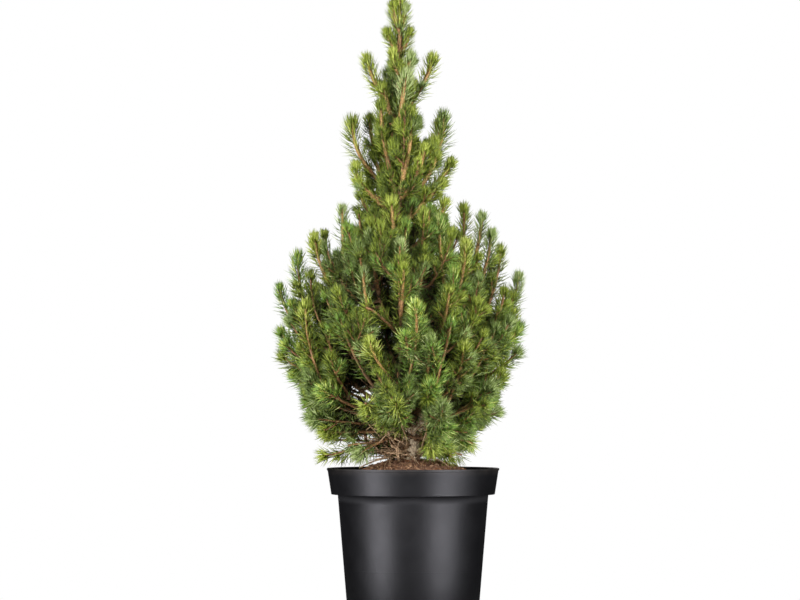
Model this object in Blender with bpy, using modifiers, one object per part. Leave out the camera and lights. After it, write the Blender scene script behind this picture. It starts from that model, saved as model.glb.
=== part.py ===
"""A potted dwarf spruce: a nursery pot filled with soil, and a small dense conifer that grows in it.

Metres, +Z up. The origin is the centre of the pot's flat underside. The trunk bows a little to the
left as it rises, so the crown stands round an axis of its own, left of the pot's. Each limb of the
tree follows one curve from the trunk to its furthest tip. A bough is the inner part of that curve,
and the mass of foliage at its end is the outer part with the shoots that branch off it.
"""

import math
import random
from typing import NamedTuple

import bmesh
import bpy
import numpy as np
from mathutils import Matrix, Vector

COLLECTION = "potted_dwarf_spruce"
UP = Vector((0, 0, 1))

# Fit
GAP = 0.0003
WELD = 0.000001
SCREW_MERGE = 0.00001

# Pot
POT_HEIGHT = 0.160
RIM_RADIUS = 0.0950
LIP_OVERHANG = 0.0008
LIP_HEIGHT = 0.0025
BAND_HEIGHT = 0.029
BAND_FOOT_RADIUS = 0.0909
STEP_HEIGHT = 0.0015
BODY_TOP_RADIUS = 0.0837
BASE_RADIUS = 0.0728
BASE_CHAMFER = 0.0020
WALL = 0.0016
FLOOR = 0.0025
POT_SIDES = 36
DRAIN_COUNT = 8
DRAIN_DEPTH = 0.016
DRAIN_WIDTH = 0.014
DRAIN_HEIGHT = 0.006
BAND_FOOT = POT_HEIGHT - BAND_HEIGHT
BODY_TOP = BAND_FOOT - STEP_HEIGHT

# Soil
SOIL_TOP = 0.168
SOIL_EDGE_HEIGHT = 0.150
SOIL_FLAT_RADIUS = 0.016
SOIL_RINGS = 3

# Trunk
FOOT_X = -0.002
FOOT_HEIGHT = SOIL_TOP + GAP
UPRIGHT_FOOT = 0.006
TRUNK_TOP = 0.588
BOW = -0.0169
BOW_TURN = 1.9
BUTT_RADIUS = 0.0078
TRUNK_TIP_RADIUS = 0.0014
TRUNK_TAPER = 0.9
FLARE = 0.0032
FLARE_HEIGHT = 0.008
TRUNK_STATIONS = 10
TRUNK_SIDES = 8

# Crown: its outline is its height and how far it reaches from its own axis there
CROWN_X = -0.016
CROWN_OUTLINE = (
    (0.163, 0.078),
    (0.190, 0.096),
    (0.220, 0.122),
    (0.275, 0.138),
    (0.325, 0.141),
    (0.370, 0.137),
    (0.430, 0.109),
    (0.452, 0.092),
    (0.470, 0.062),
    (0.560, 0.056),
    (0.575, 0.042),
    (0.625, 0.042),
    (0.635, 0.018),
    (0.690, 0.014),
    (0.697, 0.004),
)
CROWN_TOP = CROWN_OUTLINE[-1][0]
TIP_MARGIN = 0.003
OUTLINE_SLACK = 0.003
HEIGHT_JITTER = 0.006

# Limbs: how far out and up the curve's control point lies between the trunk and the tip
CONTROL_OUT = 0.68
CONTROL_UP = 0.16
CONTROL_RISE = 0.006
BOUGH_TAPER = 0.55
BOUGH_STATIONS = 4
TWIG_RADIUS = 0.0017
BARE_SHARE = 0.16

# Shoots: radii are given along the shoot, as a share of its length
STEM_SIDES = 4
STEM_RADII = ((0.25, 0.0060), (0.5, 0.0062), (0.75, 0.0060), (1.0, 0.0013))
SHOOT_SIDES = 3
SHOOT_RADII = ((0.0, 0.0032), (0.5, 0.0076), (1.0, 0.0015))
SHOOT_ANGLE = math.radians(52)
SHOOT_SHARES = (1.0, 0.8, 0.62)
FIRST_SHOOT = 0.06
SHOOT_RUN = 0.82
GOLDEN_TURN = math.radians(137.5)
ROLL_JITTER = 0.4
LENGTH_JITTER = (0.85, 1.1)
NEEDLE_RISE = 0.0060
NEEDLE_LEAN = 0.0080
NEEDLED_SHARE = 0.1

# Hearts: the dense middle of a thick mass
HEART_SHARE = 0.52
HEART_SCALES = (1.0, 0.85, 0.7, 0.55)
HEART_SIDES = 7
HEART_RINGS = 4
HEART_MARGIN = 0.15

# Clearances
RIM_CLEARANCE = 0.0035
SOIL_CLEARANCE = 0.0015
LIMB_CLEARANCE = 0.0004
SPACE_CLEARANCE = 0.0003
SEED_COUNT = 5
LIMB_STEP = 0.001


class Tier(NamedTuple):
    """One ring of limbs round the trunk. A tier with no bough share has stems in place of boughs."""

    name: str
    root: float
    tip: float
    bough_share: float
    radius: float
    heart: tuple | None
    shoots: int
    shoot_length: float
    lift: float
    azimuths: tuple


TIERS = (
    Tier("skirt", 0.188, 0.190, 0.0, 0.0020, (0.050, 0.024), 4, 0.048, 0.10, (18, 88, 158, 222, 300)),
    Tier("lower", 0.202, 0.240, 0.24, 0.0029, (0.066, 0.042), 6, 0.050, 0.3, (354, 54, 126, 190, 266)),
    Tier("middle", 0.222, 0.322, 0.28, 0.0031, (0.080, 0.046), 6, 0.052, 0.8, (8, 72, 128, 178, 236, 300)),
    Tier("shoulder", 0.262, 0.386, 0.26, 0.0028, (0.076, 0.046), 6, 0.048, 1.1, (348, 50, 106, 186, 270)),
    Tier("dome", 0.312, 0.442, 0.0, 0.0024, (0.070, 0.038), 5, 0.046, 1.2, (10, 84, 160, 222, 302)),
    Tier("collar", 0.384, 0.500, 0.0, 0.0021, (0.050, 0.026), 5, 0.036, 1.3, (350, 110, 200)),
    Tier("spire", 0.440, 0.556, 0.0, 0.0019, None, 5, 0.034, 1.3, (24, 168, 280)),
    Tier("upper", 0.496, 0.596, 0.0, 0.0017, None, 4, 0.028, 1.3, (84, 208, 330)),
    Tier("top", 0.548, 0.622, 0.0, 0.0015, None, 3, 0.022, 1.2, (4, 178)),
)
LEADER_SHOOTS = 8
LEADER_SHOOT_LENGTH = 0.026
LEADER_LIFT = 1.5
LEADER_SEED = 9


class Station(NamedTuple):
    """One place along a limb, with the limb's radius there."""

    place: Vector
    radius: float


class Bend:
    """A quadratic curve from a start to an end, pulled towards one control point."""

    def __init__(self, start, control, end):
        self.start, self.control, self.end = start, control, end

    def place(self, share):
        first = self.start.lerp(self.control, share)
        return first.lerp(self.control.lerp(self.end, share), share)

    def direction(self, share):
        first = self.control - self.start
        return first.lerp(self.end - self.control, share).normalized()

    def share_near(self, point):
        """The share of the chord that lies nearest to the point."""
        chord = self.end - self.start
        return min(max((point - self.start).dot(chord) / chord.length_squared, 0), 1)


class Kit(NamedTuple):
    """What the tree is made with: its collections, the sections to sweep and its materials."""

    home: bpy.types.Collection
    pieces: bpy.types.Collection
    guides: bpy.types.Collection
    trunk_section: bpy.types.Object
    stem_section: bpy.types.Object
    shoot_section: bpy.types.Object
    bark: bpy.types.Material
    needles: bpy.types.Material


# Objects and meshes

def material(name, colour, roughness):
    made = bpy.data.materials.new(name)
    made.use_nodes = True
    shader = made.node_tree.nodes["Principled BSDF"]
    shader.inputs["Base Color"].default_value = (*colour, 1.0)
    shader.inputs["Roughness"].default_value = roughness
    shader.inputs["Metallic"].default_value = 0.0
    return made


def collection(name):
    made = bpy.data.collections.new(name)
    bpy.context.scene.collection.children.link(made)
    return made


def add_object(name, data, home):
    made = bpy.data.objects.new(name, data)
    home.objects.link(made)
    return made


def as_helper(obj):
    obj.hide_render = True
    obj.display_type = "WIRE"
    return obj


def evaluated_mesh(obj):
    """A new mesh of the object as its curve settings and modifiers leave it."""
    bpy.context.view_layer.update()
    return bpy.data.meshes.new_from_object(obj.evaluated_get(bpy.context.evaluated_depsgraph_get()))


def turned(name, profile, home):
    """A solid of revolution from a profile that starts and ends on the axis."""
    mesh = bpy.data.meshes.new(name)
    edges = [(index, index + 1) for index in range(len(profile) - 1)]
    mesh.from_pydata([(radius, 0, height) for radius, height in profile], edges, [])
    made = add_object(name, mesh, home)
    screw = made.modifiers.new("turn", "SCREW")
    screw.steps = POT_SIDES
    screw.render_steps = POT_SIDES
    screw.use_merge_vertices = True
    screw.merge_threshold = SCREW_MERGE
    return made


def section(sides, home):
    """A guide with this many sides that a limb's curve is swept with."""
    curve = bpy.data.curves.new(f"section_{sides}", "CURVE")
    spline = curve.splines.new("POLY")
    spline.points.add(sides - 1)
    for index, point in enumerate(spline.points):
        angle = math.tau * index / sides
        point.co = (math.cos(angle), math.sin(angle), 0, 1)
    spline.use_cyclic_u = True
    return as_helper(add_object(curve.name, curve, home))


def tube(name, stations, guide, home):
    """A closed mesh swept along the stations, made from a curve with filled caps."""
    curve = bpy.data.curves.new(name, "CURVE")
    curve.dimensions = "3D"
    curve.bevel_mode = "OBJECT"
    curve.bevel_object = guide
    curve.use_fill_caps = True
    spline = curve.splines.new("POLY")
    spline.points.add(len(stations) - 1)
    for point, station in zip(spline.points, stations):
        point.co = (*station.place, 1)
        point.radius = station.radius
    drawn = add_object(name, curve, home)
    mesh = evaluated_mesh(drawn)
    bpy.data.objects.remove(drawn)
    bpy.data.curves.remove(curve)
    shape = bmesh.new()
    shape.from_mesh(mesh)
    bmesh.ops.remove_doubles(shape, verts=shape.verts, dist=WELD)
    bmesh.ops.recalc_face_normals(shape, faces=shape.faces)
    shape.to_mesh(mesh)
    shape.free()
    mesh.name = name
    return add_object(name, mesh, home)


def shells(shape):
    """The connected groups of faces of a mesh."""
    left = set(shape.faces)
    found = []
    while left:
        group, waiting = set(), [next(iter(left))]
        while waiting:
            face = waiting.pop()
            if face in group:
                continue
            group.add(face)
            waiting += [other for edge in face.edges for other in edge.link_faces]
        left -= group
        found.append(group)
    return found


def box_volume(group):
    """The volume of the upright box round a group of faces."""
    places = [vertex.co for face in group for vertex in face.verts]
    return math.prod(max(p[axis] for p in places) - min(p[axis] for p in places) for axis in range(3))


def join(obj, pieces):
    """Unites the object with every piece in the collection and keeps the outer skin of the result."""
    union = obj.modifiers.new("join", "BOOLEAN")
    union.operation = "UNION"
    union.solver = "MANIFOLD"
    union.operand_type = "COLLECTION"
    union.collection = pieces
    joined = evaluated_mesh(obj)
    obj.modifiers.remove(union)
    obj.data = joined
    for piece in list(pieces.objects):
        bpy.data.meshes.remove(piece.data)
    shape = bmesh.new()
    shape.from_mesh(joined)
    found = shells(shape)
    kept = max(found, key=box_volume)
    loose = [face for group in found if group is not kept for face in group]
    bmesh.ops.delete(shape, geom=loose, context="FACES")
    bmesh.ops.triangulate(shape, faces=shape.faces)
    shape.to_mesh(joined)
    shape.free()


def cut_clear(obj, cutter):
    """Cuts a limb off where it would enter the trunk, so that its foot fits round the bark."""
    cut = obj.modifiers.new("clear_of_trunk", "BOOLEAN")
    cut.object = cutter
    obj.data = evaluated_mesh(obj)
    obj.modifiers.remove(cut)


# Pot and soil

def wall_radius(height):
    """Inner radius of the pot at this height, below or in the band."""
    if height >= BAND_FOOT:
        share = (height - BAND_FOOT) / BAND_HEIGHT
        return BAND_FOOT_RADIUS + (RIM_RADIUS - BAND_FOOT_RADIUS) * share - WALL
    return BASE_RADIUS + (BODY_TOP_RADIUS - BASE_RADIUS) * height / BODY_TOP - WALL


def soil_height(radius):
    """Height of the mounded soil at this distance from the pot's axis."""
    edge = BAND_FOOT_RADIUS - WALL
    share = min(max((radius - SOIL_FLAT_RADIUS) / (edge - SOIL_FLAT_RADIUS), 0), 1)
    return SOIL_EDGE_HEIGHT + (SOIL_TOP - SOIL_EDGE_HEIGHT) * (1 + math.cos(math.pi * share)) / 2


def make_pot(home, cutters):
    """A thin turned shell with a lip and a band, and drain openings at the edge of its base."""
    inner = [
        (0, FLOOR),
        (wall_radius(FLOOR), FLOOR),
        (wall_radius(BODY_TOP), BODY_TOP + WALL),
        (wall_radius(BAND_FOOT), BAND_FOOT + WALL),
        (RIM_RADIUS - WALL, POT_HEIGHT),
    ]
    outer = [
        (RIM_RADIUS + LIP_OVERHANG, POT_HEIGHT),
        (RIM_RADIUS + LIP_OVERHANG, POT_HEIGHT - LIP_HEIGHT),
        (RIM_RADIUS, POT_HEIGHT - LIP_HEIGHT),
        (BAND_FOOT_RADIUS, BAND_FOOT),
        (BODY_TOP_RADIUS, BODY_TOP),
        (BASE_RADIUS, BASE_CHAMFER),
        (BASE_RADIUS - BASE_CHAMFER, 0),
        (0, 0),
    ]
    pot = turned("pot", inner + outer, home)
    for index in range(DRAIN_COUNT):
        mesh = bpy.data.meshes.new(f"drain_cutter_{index + 1}")
        shape = bmesh.new()
        bmesh.ops.create_cube(shape, size=1)
        shape.to_mesh(mesh)
        shape.free()
        drain = as_helper(add_object(mesh.name, mesh, cutters))
        drain.scale = (DRAIN_DEPTH, DRAIN_WIDTH, 2 * DRAIN_HEIGHT)
        angle = math.tau * (index + 0.5) / DRAIN_COUNT
        drain.location = (BASE_RADIUS * math.cos(angle), BASE_RADIUS * math.sin(angle), 0)
        drain.rotation_euler.z = angle
    cut = pot.modifiers.new("drains", "BOOLEAN")
    cut.operand_type = "COLLECTION"
    cut.collection = cutters
    pot.data.materials.append(material("black_plastic", (0.018, 0.018, 0.020), 0.38))


def make_soil(home):
    """The fill, mounded up to the trunk and flat under its foot."""
    edge_radius = wall_radius(SOIL_EDGE_HEIGHT) - GAP
    profile = [(0, SOIL_TOP)]
    for ring in range(SOIL_RINGS + 1):
        radius = SOIL_FLAT_RADIUS + (edge_radius - SOIL_FLAT_RADIUS) * ring / SOIL_RINGS
        profile.append((radius, soil_height(radius)))
    profile += [
        (wall_radius(BAND_FOOT) - GAP, BAND_FOOT + WALL + GAP),
        (wall_radius(BODY_TOP) - GAP, BODY_TOP + WALL),
        (wall_radius(FLOOR) - GAP, FLOOR + GAP),
        (0, FLOOR + GAP),
    ]
    soil = turned("soil", profile, home)
    soil.data.materials.append(material("peat", (0.13, 0.065, 0.035), 0.95))


# Trunk

def trunk_axis(height):
    """The middle of the trunk at this height: upright through the flare, then bowed."""
    share = max(height - FOOT_HEIGHT - UPRIGHT_FOOT, 0) / (TRUNK_TOP - SOIL_TOP)
    return Vector((FOOT_X + BOW * math.sin(BOW_TURN * share), 0, height))


def trunk_radius(height):
    share = (height - SOIL_TOP) / (TRUNK_TOP - SOIL_TOP)
    taper = TRUNK_TIP_RADIUS + (BUTT_RADIUS - TRUNK_TIP_RADIUS) * max(1 - share, 0) ** TRUNK_TAPER
    return taper + FLARE * math.exp(-(height - SOIL_TOP) / FLARE_HEIGHT)


def trunk_stations():
    """The flared foot stands upright on the soil, and the bowed stem goes on from it."""
    collar = FOOT_HEIGHT + UPRIGHT_FOOT
    heights = [FOOT_HEIGHT, (FOOT_HEIGHT + collar) / 2]
    heights += [collar + (TRUNK_TOP - collar) * i / (TRUNK_STATIONS - 1) for i in range(TRUNK_STATIONS)]
    return [Station(trunk_axis(height), trunk_radius(height)) for height in heights]


def make_trunk(stations, kit):
    """The trunk, and the cutter that is wider all round by the gap and runs out of its top."""
    trunk = tube("trunk", stations, kit.trunk_section, kit.home)
    trunk.data.materials.append(kit.bark)
    wider = [Station(station.place, station.radius + GAP) for station in stations]
    wider.append(Station(stations[-1].place + UP * GAP, TRUNK_TIP_RADIUS + GAP))
    return as_helper(tube("trunk_cutter", wider, kit.trunk_section, kit.guides))


# Room

def crown_reach(height):
    """How far the crown reaches from its own axis at this height."""
    heights, reaches = zip(*CROWN_OUTLINE)
    return float(np.interp(height, heights, reaches))


def inside_crown(point):
    reach = math.hypot(point.x - CROWN_X, point.y)
    return point.z < CROWN_TOP and reach < crown_reach(point.z) + OUTLINE_SLACK


def above_pot(point):
    soil = soil_height(math.hypot(point.x, point.y)) + SOIL_CLEARANCE
    return point.z > max(POT_HEIGHT + RIM_CLEARANCE, soil)


def distances(points, others):
    """The distance from each point to each of the others."""
    points, others = np.array(points), np.array(others)
    return np.linalg.norm(points[:, None] - others[None], axis=2)


class Limbs:
    """The trunk and boughs as close rows of balls, so that pieces can be kept off them."""

    def __init__(self, limbs):
        rows = []
        for limb in limbs:
            for here, there in zip(limb, limb[1:]):
                count = max(int((there.place - here.place).length / LIMB_STEP), 1)
                for step in range(count + 1):
                    share = step / count
                    place = here.place.lerp(there.place, share)
                    rows.append((*place, here.radius + (there.radius - here.radius) * share))
        self.centres = np.array(rows)[:, :3]
        self.radii = np.array(rows)[:, 3]

    def clear_of(self, points, radius=0.0):
        """Whether balls of this radius at these points keep off every limb."""
        gaps = distances(points, self.centres) - self.radii
        return gaps.min() > radius + LIMB_CLEARANCE

    def outside(self, into_ball):
        """Whether every limb stays out of the shape that this matrix maps onto a ball of unit width."""
        local = self.centres @ np.array(into_ball.to_3x3()).T + np.array(into_ball.translation)
        return np.linalg.norm(local, axis=1).min() > 0.5 + HEART_MARGIN


class Space:
    """The room that one mass keeps to: the places nearer to its own seeds than to any other's."""

    def __init__(self, mass, masses):
        self.seeds = mass.seeds()
        self.others = [seed for other in masses if other is not mass for seed in other.seeds()]

    def holds(self, points):
        if not all(above_pot(point) and inside_crown(point) for point in points):
            return False
        own = distances(points, self.seeds).min(axis=1)
        other = distances(points, self.others).min(axis=1)
        return bool((other > own + 2 * SPACE_CLEARANCE).all())


def spots(obj):
    """Every corner of a mesh and the middle of each of its edges."""
    corners = [vertex.co for vertex in obj.data.vertices]
    middles = [(corners[a] + corners[b]) / 2 for a, b in (edge.vertices for edge in obj.data.edges)]
    return corners + middles


# Growth

def around_crown(azimuth, reach, height):
    angle = math.radians(azimuth)
    return Vector((CROWN_X + reach * math.cos(angle), reach * math.sin(angle), height))


def limb_bend(tier, azimuth, chance):
    """The curve from the trunk's axis to the limb's furthest tip: out at first, then upwards."""
    start = trunk_axis(tier.root + chance.uniform(-1, 1) * HEIGHT_JITTER)
    height = tier.tip + chance.uniform(-1, 1) * HEIGHT_JITTER
    tip = around_crown(azimuth, crown_reach(height) - TIP_MARGIN, height)
    out = Vector((tip.x - start.x, tip.y - start.y, 0))
    rise = UP * ((tip.z - start.z) * CONTROL_UP + CONTROL_RISE)
    return Bend(start, start + out * CONTROL_OUT + rise, tip)


def perpendicular(direction, roll):
    """A unit vector square to the direction, turned about it by this angle."""
    side = direction.cross(UP)
    if side.length < WELD:
        side = Vector((1, 0, 0))
    return Matrix.Rotation(roll, 3, direction) @ side.normalized()


def shoot_bend(parent, share, roll, length, lift):
    """A side shoot: it leaves its parent at the shoot angle and bends towards the light."""
    along = parent.direction(share)
    leave = along * math.cos(SHOOT_ANGLE) + perpendicular(along, roll) * math.sin(SHOOT_ANGLE)
    start = parent.place(share)
    middle = start + leave * length / 2
    return Bend(start, middle, middle + (leave + UP * lift).normalized() * length / 2)


def add_needles(obj, bend, first, space, limbs):
    """Draws a needle out of each side face of a core past this share of its curve.

    A needle leans forward over its own face. One that would leave the mass's space or touch a limb
    is skipped.
    """
    shape = bmesh.new()
    shape.from_mesh(obj.data)
    for face in [face for face in shape.faces if len(face.verts) == 4]:
        middle = face.calc_center_median()
        share = bend.share_near(middle)
        if share < first:
            continue
        tip = middle + face.normal * NEEDLE_RISE + bend.direction(share) * NEEDLE_LEAN
        needle = [middle.lerp(tip, part) for part in (0.35, 0.7, 1)]
        needle += [corner.co.lerp(tip, 0.5) for corner in face.verts]
        if space.holds(needle) and limbs.clear_of(needle):
            poked = bmesh.ops.poke(shape, faces=[face])
            poked["verts"][0].co = tip
    shape.to_mesh(obj.data)
    shape.free()


class Mass:
    """One mass of foliage: a stem, the shoots that branch off it, and the needles on them."""

    def __init__(self, name, stem, start_share, foot_radius, heart, shoots, shoot_length, lift, seed):
        self.name = name
        self.stem = stem
        self.start_share = start_share
        self.foot_radius = foot_radius
        self.heart = heart
        self.shoots = shoots
        self.shoot_length = shoot_length
        self.lift = lift
        self.chance = random.Random(seed)

    def along(self, share):
        """The share of the whole limb at this share of the mass's own stem."""
        return self.start_share + (1 - self.start_share) * share

    def seeds(self):
        """The places that the mass's space is drawn round, from past the stem's foot to its tip."""
        first = self.start_share + BARE_SHARE
        return [self.stem.place(first + (1 - first) * i / (SEED_COUNT - 1)) for i in range(SEED_COUNT)]

    def make_stem(self, kit):
        """The bare foot of the stem, which goes on as the core of its own needled end."""
        foot = self.stem.place(self.start_share)
        if self.start_share:
            foot += self.stem.direction(self.start_share) * GAP
        bare_end = self.along(BARE_SHARE)
        stations = [Station(foot, self.foot_radius), Station(self.stem.place(bare_end), TWIG_RADIUS)]
        for share, radius in STEM_RADII:
            stations.append(Station(self.stem.place(bare_end + (1 - bare_end) * share), radius))
        return tube(self.name, stations, kit.stem_section, kit.home)

    def add_heart(self, space, limbs, kit):
        """The dense heart of a thick mass, made smaller until it keeps to the mass's space."""
        middle = self.along(HEART_SHARE)
        turn = self.stem.direction(middle).to_track_quat("Z", "Y").to_matrix().to_4x4()
        length, width = self.heart
        for scale in HEART_SCALES:
            size = Matrix.Diagonal((width * scale, width * scale, length * scale, 1))
            place = Matrix.Translation(self.stem.place(middle)) @ turn @ size
            shape = bmesh.new()
            bmesh.ops.create_uvsphere(shape, u_segments=HEART_SIDES, v_segments=HEART_RINGS, radius=0.5)
            bmesh.ops.transform(shape, matrix=place, verts=shape.verts)
            mesh = bpy.data.meshes.new(f"{self.name}_heart")
            shape.to_mesh(mesh)
            shape.free()
            made = add_object(mesh.name, mesh, kit.pieces)
            if space.holds(spots(made)) and limbs.outside(place.inverted()):
                return
            bpy.data.meshes.remove(mesh)

    def add_shoot(self, index, space, limbs, kit):
        """Adds one side shoot if it, or a shorter one, keeps to the mass's space."""
        share = self.along(FIRST_SHOOT + SHOOT_RUN * (index + 0.5) / self.shoots)
        roll = index * GOLDEN_TURN + self.chance.uniform(-ROLL_JITTER, ROLL_JITTER)
        longest = self.shoot_length * self.chance.uniform(*LENGTH_JITTER)
        for part in SHOOT_SHARES:
            bend = shoot_bend(self.stem, share, roll, longest * part, self.lift)
            stations = [Station(bend.place(at), radius) for at, radius in SHOOT_RADII]
            made = tube(f"{self.name}_shoot", stations, kit.shoot_section, kit.pieces)
            past_foot = [bend.place(0.5 + 0.1 * step) for step in range(6)]
            if space.holds(spots(made)) and limbs.clear_of(past_foot, TWIG_RADIUS):
                add_needles(made, bend, NEEDLED_SHARE, space, limbs)
                return
            bpy.data.meshes.remove(made.data)

    def build(self, masses, limbs, kit):
        space = Space(self, masses)
        stem = self.make_stem(kit)
        if self.heart:
            self.add_heart(space, limbs, kit)
        for index in range(self.shoots):
            self.add_shoot(index, space, limbs, kit)
        add_needles(stem, self.stem, self.along(BARE_SHARE), space, limbs)
        join(stem, kit.pieces)
        stem.data.materials.clear()
        stem.data.materials.append(kit.needles)
        return stem


def bough_stations(tier, bend):
    """The inner part of a limb's curve, tapering evenly to where its mass begins."""
    stations = []
    for index in range(BOUGH_STATIONS):
        share = index / (BOUGH_STATIONS - 1)
        radius = tier.radius * (1 - (1 - BOUGH_TAPER) * share)
        stations.append(Station(bend.place(tier.bough_share * share), radius))
    return stations


def plan_crown():
    """Lays out the boughs as named rows of stations, and the masses."""
    boughs, masses = {}, []
    for level, tier in enumerate(TIERS):
        for number, azimuth in enumerate(tier.azimuths, 1):
            seed = 100 * level + number
            bend = limb_bend(tier, azimuth, random.Random(seed))
            foot_radius = tier.radius
            if tier.bough_share:
                boughs[f"bough_{tier.name}_{number}"] = bough_stations(tier, bend)
                foot_radius *= BOUGH_TAPER
            masses.append(Mass(f"foliage_{tier.name}_{number}", bend, tier.bough_share, foot_radius,
                               tier.heart, tier.shoots, tier.shoot_length, tier.lift, seed))
    foot = trunk_axis(TRUNK_TOP) + UP * GAP
    tip = foot + UP * (CROWN_TOP - TRUNK_TOP - TIP_MARGIN)
    masses.append(Mass("foliage_leader", Bend(foot, foot.lerp(tip, 0.5), tip), 0.0, TRUNK_TIP_RADIUS,
                       None, LEADER_SHOOTS, LEADER_SHOOT_LENGTH, LEADER_LIFT, LEADER_SEED))
    return boughs, masses


def make_tree(kit):
    stations = trunk_stations()
    cutter = make_trunk(stations, kit)
    boughs, masses = plan_crown()
    for name, path in boughs.items():
        bough = tube(name, path, kit.stem_section, kit.home)
        bough.data.materials.append(kit.bark)
        cut_clear(bough, cutter)
    limbs = Limbs([stations, *boughs.values()])
    for mass in masses:
        made = mass.build(masses, limbs, kit)
        if not mass.start_share and mass.name != "foliage_leader":
            cut_clear(made, cutter)


def main():
    for obj in list(bpy.data.objects):
        bpy.data.objects.remove(obj)
    home = collection(COLLECTION)
    drains = collection("drain_cutters")
    guides = collection("guides")
    pieces = collection("mass_pieces")
    make_tree(Kit(
        home, pieces, guides,
        section(TRUNK_SIDES, guides), section(STEM_SIDES, guides), section(SHOOT_SIDES, guides),
        material("bark", (0.20, 0.14, 0.10), 0.85), material("needles", (0.10, 0.22, 0.04), 0.6),
    ))
    make_soil(home)
    make_pot(home, drains)


main()
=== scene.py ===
"""A potted dwarf spruce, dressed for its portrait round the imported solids.

The tree grows here by the rule of the solids: every limb follows one curve from the trunk to its
furthest tip, and shoots leave it by a turning angle and bend towards the light. The rule is carried
on to finer twigs, each clothed in needles, and ends in upright shoots round the whole crown.
"""

from __future__ import annotations

import logging
import math
import random
from dataclasses import dataclass, field
from enum import Enum
from typing import Iterable

import bmesh
import bpy
import numpy as np
from bmesh.types import BMEdge, BMesh, BMVert
from bpy.types import Material, Mesh, Node, NodeSocket, NodeTree, Object
from mathutils import Matrix, Quaternion, Vector, noise
from numpy import ndarray


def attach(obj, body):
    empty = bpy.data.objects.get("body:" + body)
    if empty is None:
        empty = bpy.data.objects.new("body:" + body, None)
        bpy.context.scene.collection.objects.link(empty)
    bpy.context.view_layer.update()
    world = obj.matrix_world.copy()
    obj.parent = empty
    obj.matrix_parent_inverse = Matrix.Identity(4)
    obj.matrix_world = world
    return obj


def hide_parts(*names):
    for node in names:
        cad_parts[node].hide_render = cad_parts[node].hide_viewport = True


Pair = tuple[float, float]
Triple = tuple[float, float, float]

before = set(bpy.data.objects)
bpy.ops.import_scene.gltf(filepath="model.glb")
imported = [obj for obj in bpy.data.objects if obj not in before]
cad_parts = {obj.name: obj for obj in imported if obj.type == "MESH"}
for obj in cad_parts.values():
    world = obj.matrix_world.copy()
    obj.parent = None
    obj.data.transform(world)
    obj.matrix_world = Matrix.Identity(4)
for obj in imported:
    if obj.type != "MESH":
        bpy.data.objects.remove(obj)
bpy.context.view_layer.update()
LOG = logging.getLogger("potted_spruce")
UP = np.array((0.0, 0.0, 1.0))
MOST_TRIANGLES = 196_000
WELD = 1e-6
# Where the camera stands, and the point that every place of the portrait is seen from
EYE = (-0.0145, -3.34, 0.2323)

# The sizes that the solids are built from
POT_HEIGHT = 0.160
SOIL_TOP = 0.168
SOIL_EDGE_HEIGHT = 0.150
SOIL_FLAT_RADIUS = 0.016
SOIL_EDGE_RADIUS = 0.0893
FOOT_X = -0.002
FOOT_HEIGHT = SOIL_TOP + 0.0003
UPRIGHT_FOOT = 0.006
TRUNK_TOP = 0.588
BOW = -0.0169
BOW_TURN = 1.9
BUTT_RADIUS = 0.0078
TRUNK_TIP_RADIUS = 0.0014
TRUNK_TAPER = 0.9
FLARE = 0.0032
FLARE_HEIGHT = 0.008
CROWN_X = -0.016
CROWN_HEIGHTS = (0.163, 0.190, 0.220, 0.275, 0.325, 0.370, 0.430, 0.452, 0.470, 0.560, 0.575, 0.625,
                 0.635, 0.690, 0.697)
CROWN_REACHES = (0.078, 0.096, 0.122, 0.138, 0.141, 0.137, 0.109, 0.092, 0.062, 0.056, 0.042, 0.042,
                 0.018, 0.014, 0.004)
LEADER_STARTS = (0.55, 0.60)
TIP_MARGIN = 0.003
HEIGHT_JITTER = 0.006
CONTROL_OUT = 0.68
CONTROL_UP = 0.16
CONTROL_RISE = 0.006
SHOOT_ANGLE = math.radians(52)
SHOOT_SHARES = (1.0, 0.8, 0.62)
FIRST_SHOOT = 0.06
SHOOT_RUN = 0.82
GOLDEN_TURN = math.radians(137.5)
ROLL_JITTER = 0.4
LENGTH_JITTER = (0.85, 1.1)


class Slot(Enum):
    """The record's material slots."""

    POT = "pot"
    SOIL = "soil"
    BARK = "bark"
    NEEDLES = "needles"


class Age(Enum):
    """How old a spray of needles is, which sets its habit and its greens; the inner ones' darkest greens
    are painted shade.
    """

    TUFT = "tuft"
    FRESH = "fresh"
    MATURE = "mature"
    # inner needles: partly the duller greens of older needles, partly painted shade of the crown's inside
    INNER = "inner"


class Cast(Enum):
    """Which way the greens of a shoot lean."""

    OLIVE = 0
    BLUE = 1
    DUSTY = 2


class Green(Enum):
    """The plain greens of the needles: how matt each is, then its red, green and blue on a screen."""

    # painted shade: the darkest green, for needles deep in the crown where shade falls
    SHADOW = (0.6, 43, 40, 13)
    UMBER = (0.58, 62, 56, 18)
    DEEP = (0.55, 60, 73, 18)
    DARK = (0.52, 75, 91, 23)
    FOREST = (0.5, 94, 109, 29)
    BLUE = (0.42, 82, 112, 42)
    GREEN = (0.42, 108, 123, 34)
    LEAF = (0.4, 127, 141, 42)
    SEA = (0.4, 113, 145, 57)
    FRESH = (0.38, 149, 161, 62)
    BRIGHT = (0.36, 169, 179, 79)
    LIME = (0.36, 184, 193, 97)
    # partly painted highlight: the palest green, at the light end of its rows, lights single needles as a
    # highlight would
    PALE = (0.34, 199, 208, 124)
    ASH = (0.5, 76, 92, 38)
    DUSTY = (0.45, 101, 120, 56)
    GREY = (0.42, 130, 149, 80)
    SILVER = (0.38, 166, 178, 120)


class Wood(Enum):
    """How old a twig's bark is."""

    GOLD = "gold"
    YOUNG = "young"
    OLD = "old"
    DEAD = "dead"


class Rank(Enum):
    """What kind of shoot one is."""

    LIMB = 0
    BRANCH = 1
    TWIG = 2
    LINK = 3
    UPRIGHT = 4
    BARE = 5


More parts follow.
